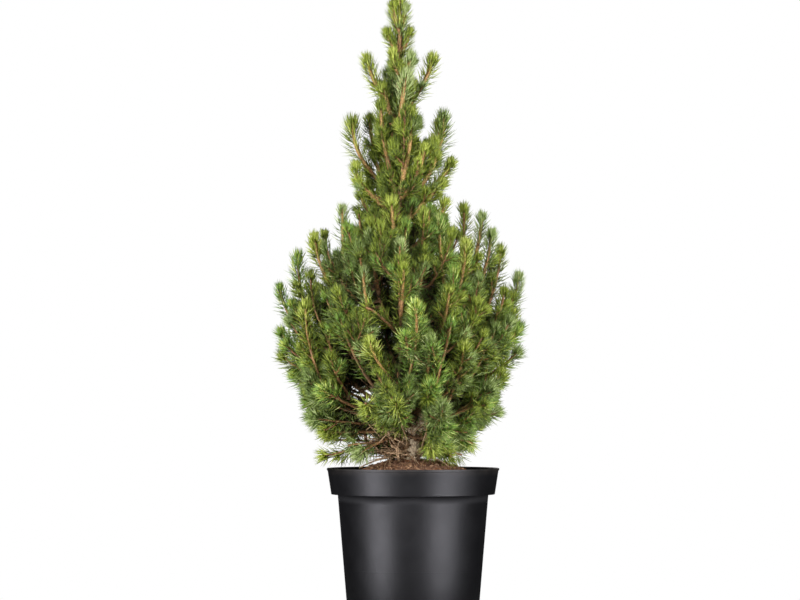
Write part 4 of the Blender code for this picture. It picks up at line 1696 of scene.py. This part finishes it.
@dataclass(frozen=True)
class PlasticFinish(Finish):
    """Black moulded plastic: a satin skin with a faint grain, matt where dirt gathers.

    A little dust lies near the rim, and the sheltered strip under the band is duller.
    """

    colour: Triple
    dust: Triple
    dust_share: float = 0.07
    dusty_heights: Pair = (0.152, 0.1605)
    sheltered_heights: Pair = (0.1215, 0.1300)
    sheltered_matt: float = 0.55
    band_starts: Pair = (0.1306, 0.1312)
    gloss: float = 0.37
    tint: Triple = (0.93, 0.92, 1.0)

    def material(self) -> Material:
        """Makes the plastic, satin with dust near the rim and a dull strip.

        Returns:
            The finished material.
        """
        made, graph, shader = self.begun()
        mottle = graph.add("Group", {"node_tree": Effects.mottle()}, Scale=34.0, Fineness=30.0,
                           Stretch=1.0)
        height = graph.add("SeparateXYZ", None, Vector=graph.add("TexCoord").outputs["Object"]).outputs["Z"]
        dusty = graph.times(graph.ranged(height, *self.dusty_heights), mottle.outputs["Patches"])
        dusted = graph.times(dusty, self.dust_share)
        deeper = tuple(value * 0.75 for value in self.colour)
        ground = graph.blend(mottle.outputs["Patches"], rgba(deeper), rgba(self.colour))
        colour = graph.blend(dusted, ground, rgba(self.dust))
        graph.link(colour, shader.inputs["Base Color"])
        satin = graph.ranged(mottle.outputs["Patches"], 0.0, 1.0, self.roughness - 0.03,
                             self.roughness + 0.04)
        sheltered = graph.ranged(height, *self.sheltered_heights, 0.0, self.sheltered_matt)
        below_band = graph.ranged(height, *self.band_starts, 1.0, 0.0)
        dulled = graph.times(sheltered, below_band)
        matt = graph.add("Math", {"operation": "ADD"}, at0=satin, at1=dulled).outputs[0]
        graph.link(matt, shader.inputs["Roughness"])
        bump = graph.add("Bump", None, Strength=0.12, Distance=0.0002, Height=mottle.outputs["Specks"])
        graph.link(bump.outputs[0], shader.inputs["Normal"])
        shader.inputs["Specular IOR Level"].default_value = self.gloss
        shader.inputs["Specular Tint"].default_value = rgba(self.tint)
        return made


BLACK_PLASTIC = PlasticFinish("black_plastic", 0.45, (0.0014, 0.0014, 0.0018), (0.30, 0.25, 0.21))
# painted light: the trunk's bark is far paler than real bark, to stand in for light that the foliage keeps
# from the trunk
TRUNK_BARK_PAINTED_LIGHT = BarkFinish("trunk_bark", 0.9, linear(252, 234, 204), linear(236, 212, 178),
                        linear(170, 140, 108), 330.0, 0.5, 0.0006)
GOLD_BARK = BarkFinish("gold_twig_bark", 0.6, linear(208, 168, 104), linear(160, 118, 68),
                       linear(86, 60, 32), 560.0, 0.5, 0.0002)
OLD_BARK = BarkFinish("old_twig_bark", 0.85, linear(158, 120, 84), linear(110, 80, 54), linear(60, 42, 28),
                      500.0, 0.5, 0.0003)
YOUNG_BARK = BarkFinish("young_twig_bark", 0.65, linear(182, 137, 88), linear(134, 95, 58),
                        linear(58, 38, 22), 560.0, 0.5, 0.0002)
# partly painted light: the dead twigs' bark is paler than their own grey-brown, to stand in for light in
# the shade round the trunk's foot
DEAD_BARK_AND_PAINTED_LIGHT = BarkFinish("dead_twig_bark", 0.9, linear(198, 168, 132), linear(160, 128, 98),
                       linear(100, 74, 54), 500.0, 0.5, 0.0003)
PEAT = PeatFinish("peat", 0.95, linear(138, 99, 74), linear(75, 50, 36))
PEAT_PALE = PeatFinish("peat_fibre", 0.9, linear(178, 142, 108), linear(128, 92, 67))
DRY_NEEDLE = NeedleFinish("needle_dry", 0.7, linear(150, 96, 56))


# Sub-assemblies

@dataclass
class Pot:
    """The nursery pot: one moulded skin with a lip, a band and drain openings, given its wall."""

    rim_radius: float = 0.0950
    lip_overhang: float = 0.0008
    lip_height: float = 0.0025
    band_foot_radius: float = 0.0909
    band_foot: float = 0.131
    body_top: float = 0.1306
    body_top_radius: float = 0.0837
    base_radius: float = 0.0728
    chamfer: float = 0.0020
    wall: float = 0.0016
    steps: int = 160
    drains: int = 8
    drain_steps: float = 5.2
    drain_depth: float = 0.008
    drain_height: float = 0.006
    seam_height: float = 0.0476
    seam_rise: float = 0.00005
    edge_width: float = 0.0005
    edge_angle: float = math.radians(32)

    def build(self) -> Object:
        """Turns the profile, opens the drains and gives the skin its wall and soft edges.

        Returns:
            The finished pot.
        """
        shape = turned(self.profile(), self.steps)
        self.face_outwards(shape)
        self.open_drains(shape)
        piece = object_of("pot_body", mesh_of("pot_body", shape), [BLACK_PLASTIC.material()])
        wall = piece.modifiers.new("wall", "SOLIDIFY")
        wall.thickness = self.wall
        wall.offset = -1
        wall.use_even_offset = True
        soften = piece.modifiers.new("soft_edges", "BEVEL")
        soften.width = self.edge_width
        soften.segments = 2
        soften.limit_method = "ANGLE"
        soften.angle_limit = self.edge_angle
        soften.harden_normals = True
        return settle(piece, Slot.POT, "pot")

    def profile(self) -> list[Pair]:
        """The outside of the pot from the middle of its base to the rim, as radius and height.

        Returns:
            Radius and height of each corner.
        """
        seam = self.body_radius(self.seam_height)
        below, above = ([(self.body_radius(height), height) for height in heights] for heights in (
            [self.drain_height] + [self.seam_height - away for away in (0.0012, 0.0006)],
            [self.seam_height + away for away in (0.0006, 0.0012)]))
        return [
            (0.0, 0.0),
            (self.base_radius - self.drain_depth, 0.0),
            (self.base_radius - self.chamfer, 0.0),
            (self.base_radius, self.chamfer),
            *below,
            (seam + self.seam_rise, self.seam_height - 0.0002),
            (seam + self.seam_rise, self.seam_height + 0.0002),
            *above,
            (self.body_top_radius, self.body_top),
            (self.band_foot_radius, self.band_foot),
            (self.rim_radius, POT_HEIGHT - self.lip_height),
            (self.rim_radius + self.lip_overhang, POT_HEIGHT - self.lip_height),
            (self.rim_radius + self.lip_overhang, POT_HEIGHT),
        ]

    def body_radius(self, height: float) -> float:
        """The body's outer radius at a height, between base and band."""
        return self.base_radius + (self.body_top_radius - self.base_radius) * height / self.body_top

    def face_outwards(self, shape: BMesh) -> None:
        """Turns the open skin so that its faces point away from the pot's inside.

        Args:
            shape: The open skin.
        """
        shape.normal_update()
        side = max(shape.faces, key=lambda face: face.calc_area())
        middle = side.calc_center_median()
        if side.normal.dot(Vector((middle.x, middle.y, 0 if middle.z > 0.001 else -1))) < 0:
            bmesh.ops.reverse_faces(shape, faces=shape.faces)

    def open_drains(self, shape: BMesh) -> None:
        """Takes away the faces round the base's edge where the drain openings are.

        Args:
            shape: The open skin.
        """
        half_width = self.drain_steps / 2 * math.tau / self.steps
        cut = []
        for face in shape.faces:
            middle = face.calc_center_median()
            reach = math.hypot(middle.x, middle.y)
            if middle.z > self.drain_height or reach < self.base_radius - self.drain_depth:
                continue
            turn = math.atan2(middle.y, middle.x) * self.drains / math.tau - 0.5
            if abs(turn - round(turn)) * math.tau / self.drains < half_width:
                cut.append(face)
        bmesh.ops.delete(shape, geom=cut, context="FACES")


@dataclass(frozen=True)
class Litter:
    """One kind of thing that lies on the soil: how many, how long, how slim and how far out."""

    count: int
    shortest: float
    longest: float
    slimness: float
    farthest: float = 0.085


@dataclass
class Soil:
    """The fill of peat: a mounded bed, with crumbs, fibres and fallen needles lying on it."""

    foot: float = 0.0030
    foot_radius: float = 0.0710
    step_radius: float = 0.0815
    step_height: float = 0.1327
    band_radius: float = 0.0888
    band_height: float = 0.1332
    rings: int = 46
    steps: int = 150
    edge_gap: float = 0.0004
    crumbs: Litter = Litter(2600, 0.0012, 0.0030, 1.0)
    chips: Litter = Litter(520, 0.0035, 0.0100, 0.34, 0.052)
    fibres: Litter = Litter(900, 0.006, 0.017, 0.035)
    fallen: Litter = Litter(420, 0.008, 0.012, 0.1)
    pale_share: float = 0.32
    seed: int = 77

    def build(self) -> None:
        """Makes the bed and what lies on it."""
        settle(self.bed(), Slot.SOIL, "soil")
        peat = [PEAT.material(), PEAT_PALE.material()]
        chance = np.random.default_rng(self.seed)
        crumbs = self.scattered(self.crumbs, chance)
        settle(Repeats("soil_crumbs", Stamp.crumb(5), peat, smooth=False).pieces(crumbs)[0], Slot.SOIL)
        chips = self.scattered(self.chips, chance)
        chips.along = unit(chips.along + UP * chance.uniform(0, 0.7, (self.chips.count, 1)))
        chips.side = square_to(chips.along, chips.side)
        chips.tone = chance.integers(0, 3, self.chips.count)
        bits = [PEAT.material(), OLD_BARK.material(), PEAT_PALE.material()]
        settle(Repeats("soil_chips", Stamp.crumb(11), bits, smooth=False).pieces(chips)[0], Slot.SOIL)
        fibres = self.scattered(self.fibres, chance)
        fibres.bow = unit(chance.normal(size=fibres.bow.shape)) * fibres.length[:, None] * 0.16
        fibres.bow[:, 2] = np.abs(fibres.bow[:, 2]) * 0.4
        settle(Repeats("soil_fibres", Stamp.strand(5, 3), peat).pieces(fibres)[0], Slot.SOIL)
        fallen = self.scattered(self.fallen, chance)
        fallen.tone[:] = 0
        needles = Repeats("fallen_needles", Stamp.needle(), [DRY_NEEDLE.material()])
        settle(needles.pieces(fallen)[0], Slot.SOIL)

    def bed(self) -> Object:
        """The closed body of the fill, uneven on top.

        Returns:
            The object.
        """
        reach = SOIL_EDGE_RADIUS - self.edge_gap
        top = [(reach * ring / self.rings, soil_height(reach * ring / self.rings))
               for ring in range(self.rings + 1)]
        profile = top + [(self.band_radius, self.band_height), (self.step_radius, self.step_height),
                         (self.foot_radius, self.foot), (0.0, self.foot)]
        shape = turned(profile, self.steps)
        for vertex in shape.verts:
            across = math.hypot(vertex.co.x, vertex.co.y)
            if vertex.co.z > SOIL_EDGE_HEIGHT - 0.0005 and across < reach - 0.001:
                vertex.co.z += self.unevenness(vertex.co)
        return object_of("soil_bed", mesh_of("soil_bed", shape), [PEAT.material()])

    def unevenness(self, place: Vector) -> float:
        """How far the bed's surface rises or falls at a place."""
        spot = Vector((place.x, place.y, 0))
        return 0.0022 * noise.noise(spot * 70) + 0.0017 * noise.fractal(spot * 240, 0.7, 2.2, 3)

    def scattered(self, kind: Litter, chance: np.random.Generator) -> Copies:
        """Things that lie by chance on the bed.

        Args:
            kind: The kind of litter.
            chance: Where the numbers come from.

        Returns:
            Their places, turns and sizes.
        """
        count = kind.count
        reach = kind.farthest * np.sqrt(chance.random(count))
        angle = chance.uniform(0, math.tau, count)
        x, y = reach * np.cos(angle), reach * np.sin(angle)
        heights = np.array([soil_height(r) + self.unevenness(Vector((a, b, 0)))
                            for r, a, b in zip(reach, x, y)])
        length = kind.shortest + (kind.longest - kind.shortest) * chance.random(count) ** 2
        width = length * kind.slimness
        along = unit(np.stack((chance.normal(size=count), chance.normal(size=count),
                               chance.normal(0, 0.16, count)), axis=1))
        place = np.stack((x, y, heights + width * 0.2), axis=1) - along * length[:, None] / 2
        if kind.slimness > 0.3:
            place = np.stack((x, y, heights + width * 0.1), axis=1)
        side = square_to(along, unit(chance.normal(size=(count, 3))))
        tone = (chance.random(count) < self.pale_share).astype(int)
        return Copies(place, along, side, length, width, np.zeros((count, 3)), tone)


@dataclass
class Timber:
    """The trunk and the limbs, with bark in relief, and every twig, bare ones too.

    Bark turns from pale to old and from old to golden at two heights of the trunk; the pale bark is
    painted light, far paler than real bark to stand in for light that the foliage keeps off. A shoot's
    tip is golden above one height, and elsewhere on an upright shoot past the tone and height of
    golden_from. Each relief holds how far the bark rises and how coarse it is.
    """

    crown: Crown
    ring_gap: float = 0.0021
    trunk_sides: int = 30
    trunk_relief: Pair = (0.0008, 0.0065)
    limb_sides: int = 12
    limb_relief: Pair = (0.00028, 0.0030)
    limb_run: float = 0.82
    swept_from: float = 0.62
    second_stem: tuple[Triple, ...] = (
        (-0.001, -0.003, 0.169), (0.007, -0.012, 0.216), (0.026, -0.040, 0.252))
    second_radii: Pair = (0.0078, 0.0030)
    second_relief: Pair = (0.0007, 0.0060)
    second_rings: int = 44
    old_depth: float = 0.5
    gold_length: float = 0.034
    golden_above: float = 0.47
    golden_from: Pair = (0.2, 0.27)
    top_gold: float = 1.8
    bark_turns: tuple[float, ...] = (0.262, 0.50)

    def build(self) -> None:
        """Makes the trunk, the limbs and the twigs, each kind joined."""
        settle(self.trunk(), Slot.BARK, "trunk")
        boughs = [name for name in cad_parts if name.startswith("bough_")]
        settle(self.limbs(), Slot.BARK, *boughs)
        for wood, finish in ((Wood.DEAD, DEAD_BARK_AND_PAINTED_LIGHT), (Wood.OLD, OLD_BARK), (Wood.YOUNG, YOUNG_BARK),
                             (Wood.GOLD, GOLD_BARK)):
            corners, faces = self.strands(self.twigs(wood))
            slots = np.zeros(len(faces), int)
            piece = joined(f"twigs_{wood.value}", corners, faces, slots, [finish.material()])
            settle(piece, Slot.BARK)

    def trunk(self) -> Object:
        """The bowed trunk from the soil to the leader.

        Returns:
            The trunk and the second stem beside it.
        """
        count = int((TRUNK_TOP - FOOT_HEIGHT) / self.ring_gap)
        heights = np.linspace(FOOT_HEIGHT, TRUNK_TOP, count)
        whole = bmesh.new()
        self.gather(Limb([trunk_axis(height) for height in heights],
                         [trunk_radius(height) for height in heights],
                         self.trunk_sides, *self.trunk_relief), whole)
        shares = np.linspace(0, 1, self.second_rings)
        second = Bend(*(np.array(place) for place in self.second_stem))
        self.gather(Limb(list(second.places(shares)), list(np.interp(shares, (0, 1), self.second_radii)),
                         self.trunk_sides, *self.second_relief), whole)
        for face in whole.faces:
            height = face.calc_center_median().z
            face.material_index = sum(height > turn for turn in self.bark_turns)
        barks = [finish.material() for finish in (TRUNK_BARK_PAINTED_LIGHT, OLD_BARK, GOLD_BARK)]
        return object_of("trunk_bark", mesh_of("trunk_bark", whole), barks)

    def limbs(self) -> Object:
        """Every limb from the trunk outwards, as one piece.

        Returns:
            The object.
        """
        whole = bmesh.new()
        for stem in self.crown.shoots:
            if stem.rank is not Rank.LIMB:
                continue
            count = max(int(stem.bend.length() * self.limb_run / self.ring_gap), 6)
            shares = np.linspace(0, self.limb_run, count)
            radii = [stem.radius(share / self.limb_run) * (1 + 0.5 * math.exp(-share * 26))
                     for share in shares]
            limb = Limb(list(stem.bend.places(shares)), radii, self.limb_sides, *self.limb_relief)
            self.gather(limb, whole)
        return object_of("boughs_bark", mesh_of("boughs_bark", whole), [OLD_BARK.material()])

    def gather(self, limb: Limb, whole: BMesh) -> None:
        """Adds a limb's shape to the joined one.

        Args:
            limb: The limb.
            whole: The joined shape, which gets it.
        """
        mesh = mesh_of("limb", limb.shape())
        whole.from_mesh(mesh)
        bpy.data.meshes.remove(mesh)

    def twigs(self, wood: Wood) -> list[tuple[Shoot, float, float]]:
        """The shoots, or the parts of shoots, whose bark has this age.

        Args:
            wood: The age.

        Returns:
            Each shoot with the shares where its part begins and ends.
        """
        found = []
        for shoot in self.crown.shoots:
            age, turn = self.ages(shoot)
            if wood is age and turn > 0.02:
                found.append((shoot, self.swept_from if shoot.rank is Rank.LIMB else 0.0, turn))
            if wood is Wood.GOLD and turn < 0.98:
                found.append((shoot, turn, 1.0))
        return found

    def ages(self, shoot: Shoot) -> tuple[Wood, float]:
        """The wood of a shoot's lower part and the share where its golden tip begins.

        Args:
            shoot: The shoot.

        Returns:
            The age of its bark and the share.
        """
        if shoot.rank is Rank.BARE:
            return Wood.DEAD, 1.0
        height = shoot.bend.end[2]
        on_top = height > self.golden_above
        if not on_top and (shoot.rank is Rank.LINK or shoot.depth() < self.old_depth):
            return Wood.OLD, 1.0
        bright = shoot.tone > self.golden_from[0] and height > self.golden_from[1]
        if shoot.rank is Rank.UPRIGHT and (on_top or bright):
            gold = self.gold_length * (1 + max(shoot.tone, 0) * 0.5) * (self.top_gold if on_top else 1.0)
            return Wood.YOUNG, max(1 - gold / shoot.bend.length(), 0.0)
        return Wood.YOUNG, 1.0

    def strands(self, parts: list[tuple[Shoot, float, float]]) -> tuple[ndarray, ndarray]:
        """Tubes along parts of shoots, swept from one stamp.

        Args:
            parts: Each shoot with the shares where its part begins and ends.

        Returns:
            The corners and the triangles of all of them.
        """
        stamp = Stamp.strand(7, 4)
        level = stamp.corners[:, 2]
        corners = []
        for shoot, first, last in parts:
            shares = first + (last - first) * level
            along = shoot.bend.directions(shares)
            side = square_to(along, shoot.bend.cross_axis())
            third = np.cross(along, side)
            radius = shoot.radius(shares)[:, None]
            offset = 2 * radius * (stamp.corners[:, :1] * side + stamp.corners[:, 1:2] * third)
            corners.append(shoot.bend.places(shares) + offset)
        offsets = np.arange(len(parts))[:, None, None] * len(stamp.corners)
        return np.concatenate(corners), (stamp.faces[None] + offsets).reshape(-1, 3)


@dataclass
class NeedleCoat:
    """Joins the needles of the crown into pieces by age."""

    foliage: Foliage
    tip_from: float = 0.5

    def build(self) -> None:
        """Makes every piece of needles."""
        stamp = Stamp.needle()
        high = stamp.corners[stamp.faces].mean(axis=1)[:, 2]
        shades = (high > self.tip_from).astype(int)
        nodes = [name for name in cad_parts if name.startswith("foliage_")]
        greens = {}
        for green in Green:
            roughness, *colour = green.value
            finish = NeedleFinish(f"needle_{green.name.lower()}", roughness, linear(*colour))
            greens[green] = finish.material()
        for age, copies in self.foliage.needles().items():
            palette = [greens[green] for green in HABITS[age].palette()]
            repeats = Repeats(f"needles_{age.value}", stamp, palette, shades)
            if age is Age.INNER:
                repeats = Repeats(f"needles_{age.value}", Stamp.spike(), palette)
            for piece in repeats.pieces(copies):
                settle(piece, Slot.NEEDLES, *nodes)


@dataclass
class Studio:
    """A small pale table top, tall soft lights on both sides and the camera of the portrait.

    Each strip light is a row of its turn from the camera, in degrees, and its power. Each lamp is a
    row of its name, power, size and place, and points at the plant.
    """

    lens: float = 135.0
    tilt: float = 1.965
    strips: tuple[Pair, ...] = ((-60, 62), (-45, 51), (39, 71), (60, 47))
    lamps: tuple[tuple[str, float, float, Triple], ...] = (
        ("ceiling", 18.0, 1.6, (0, 0, 2.4)), ("front", 11.0, 0.7, (0, -3.0, 1.9)),
        ("low", 14.0, 0.7, (0, -3.0, 0.85)), ("back", 26.0, 1.0, (0, 2.2, 1.9)))
    strip_distance: float = 2.3
    strip_height: float = 0.4
    strip_size: Pair = (0.28, 3.2)
    lamp_target: Triple = (0, 0, 0.3)
    room_light: float = 0.024
    floor_radius: float = 0.2
    floor_gap: float = 0.0004
    floor_glow: float = 0.82
    floor_bounce: float = 0.1

    def build(self) -> None:
        """Sets up the floor, the world, the lights and the camera."""
        self.floor()
        self.world()
        for number, (turn, power) in enumerate(self.strips, 1):
            self.strip(number, turn, power)
        for name, power, size, place in self.lamps:
            lamp = self.area_light(name, power, size, size)
            lamp.location = place
            towards = Vector(self.lamp_target) - lamp.location
            lamp.rotation_euler = towards.to_track_quat("-Z", "Y").to_euler()
        self.camera()

    def floor(self) -> None:
        """A round table top just under the pot, small enough for low light to pass its edge."""
        shape = bmesh.new()
        bmesh.ops.create_circle(shape, cap_ends=True, segments=96, radius=self.floor_radius,
                                matrix=Matrix.Translation((0, 0, -self.floor_gap)))
        floor = object_of("floor", mesh_of("floor", shape), [self.floor_material()])

    def floor_material(self) -> Material:
        """Pale matt paper with a barely seen tooth.

        Returns:
            The finished material.
        """
        made, graph, shader = Finish("studio_paper", 0.9).begun()
        tooth = graph.add("TexNoise", None, Scale=90.0, Detail=2.0)
        seen = graph.add("LightPath").outputs["Is Camera Ray"]
        tint = graph.ranged(tooth.outputs[0], 0.3, 0.7, 0.90, 0.93)
        tint = graph.times(tint, graph.ranged(seen, 0.0, 1.0, self.floor_bounce, 1.0))
        colour = graph.add("CombineColor", None, Red=tint, Green=tint, Blue=tint)
        graph.link(colour.outputs[0], shader.inputs["Base Color"])
        shader.inputs["Specular IOR Level"].default_value = 0.2
        shader.inputs["Emission Color"].default_value = (1, 1, 1, 1)
        glow = graph.ranged(seen, 0.0, 1.0, 0.0, self.floor_glow)
        graph.link(glow, shader.inputs["Emission Strength"])
        return made

    def world(self) -> None:
        """White behind the plant, and a dimmer room that lights it from all round."""
        scene = bpy.context.scene
        scene.world = bpy.data.worlds.new("room")
        scene.world.use_nodes = True
        graph = Graph(scene.world.node_tree)
        background = scene.world.node_tree.nodes["Background"]
        seen = graph.add("LightPath").outputs["Is Camera Ray"]
        strength = graph.ranged(seen, 0.0, 1.0, self.room_light, 1.0)
        background.inputs["Color"].default_value = (1, 1, 1, 1)
        graph.link(strength, background.inputs["Strength"])
        scene.view_settings.view_transform = "Standard"
        scene.view_settings.look = "None"

    def strip(self, number: int, turn: float, power: float) -> None:
        """One tall soft light that reaches below the table top.

        Args:
            number: Its number.
            turn: Its turn from the camera, in degrees.
            power: Its power in watts.
        """
        angle = math.radians(turn)
        lamp = self.area_light(f"strip_{number}", power, *self.strip_size)
        lamp.location = (self.strip_distance * math.sin(angle), -self.strip_distance * math.cos(angle),
                         self.strip_height)
        lamp.rotation_euler = (math.radians(90), 0, angle)

    def area_light(self, name: str, power: float, width: float, height: float) -> Object:
        """A soft light of a width and height, not yet placed.

        Args:
            name: Its name.
            power: Its power in watts.
            width: Its width.
            height: Its height.

        Returns:
            The lamp.
        """
        light = bpy.data.lights.new(name, "AREA")
        light.shape = "RECTANGLE"
        light.size = width
        light.size_y = height
        light.energy = power
        lamp = bpy.data.objects.new(name, light)
        bpy.context.scene.collection.objects.link(lamp)
        return lamp

    def camera(self) -> None:
        """The portrait's view, from a little above the rim."""
        data = bpy.data.cameras.new("portrait")
        data.lens = self.lens
        data.sensor_width = 36.0
        data.clip_start = 0.05
        camera = bpy.data.objects.new("portrait", data)
        camera.location = EYE
        camera.rotation_euler = (math.radians(90 + self.tilt), 0, 0)
        bpy.context.scene.collection.objects.link(camera)
        bpy.context.scene.camera = camera


def main() -> None:
    """Builds the part from the pot upwards, and the studio round it."""
    logging.basicConfig(level=logging.INFO, format="%(name)s %(message)s")
    Studio().build()
    Pot().build()
    Soil().build()
    crown = Crown()
    crown.grow()
    LOG.info("shoots: %d", len(crown.shoots))
    Timber(crown).build()
    NeedleCoat(Foliage(crown)).build()


if __name__ == "__main__":
    main()
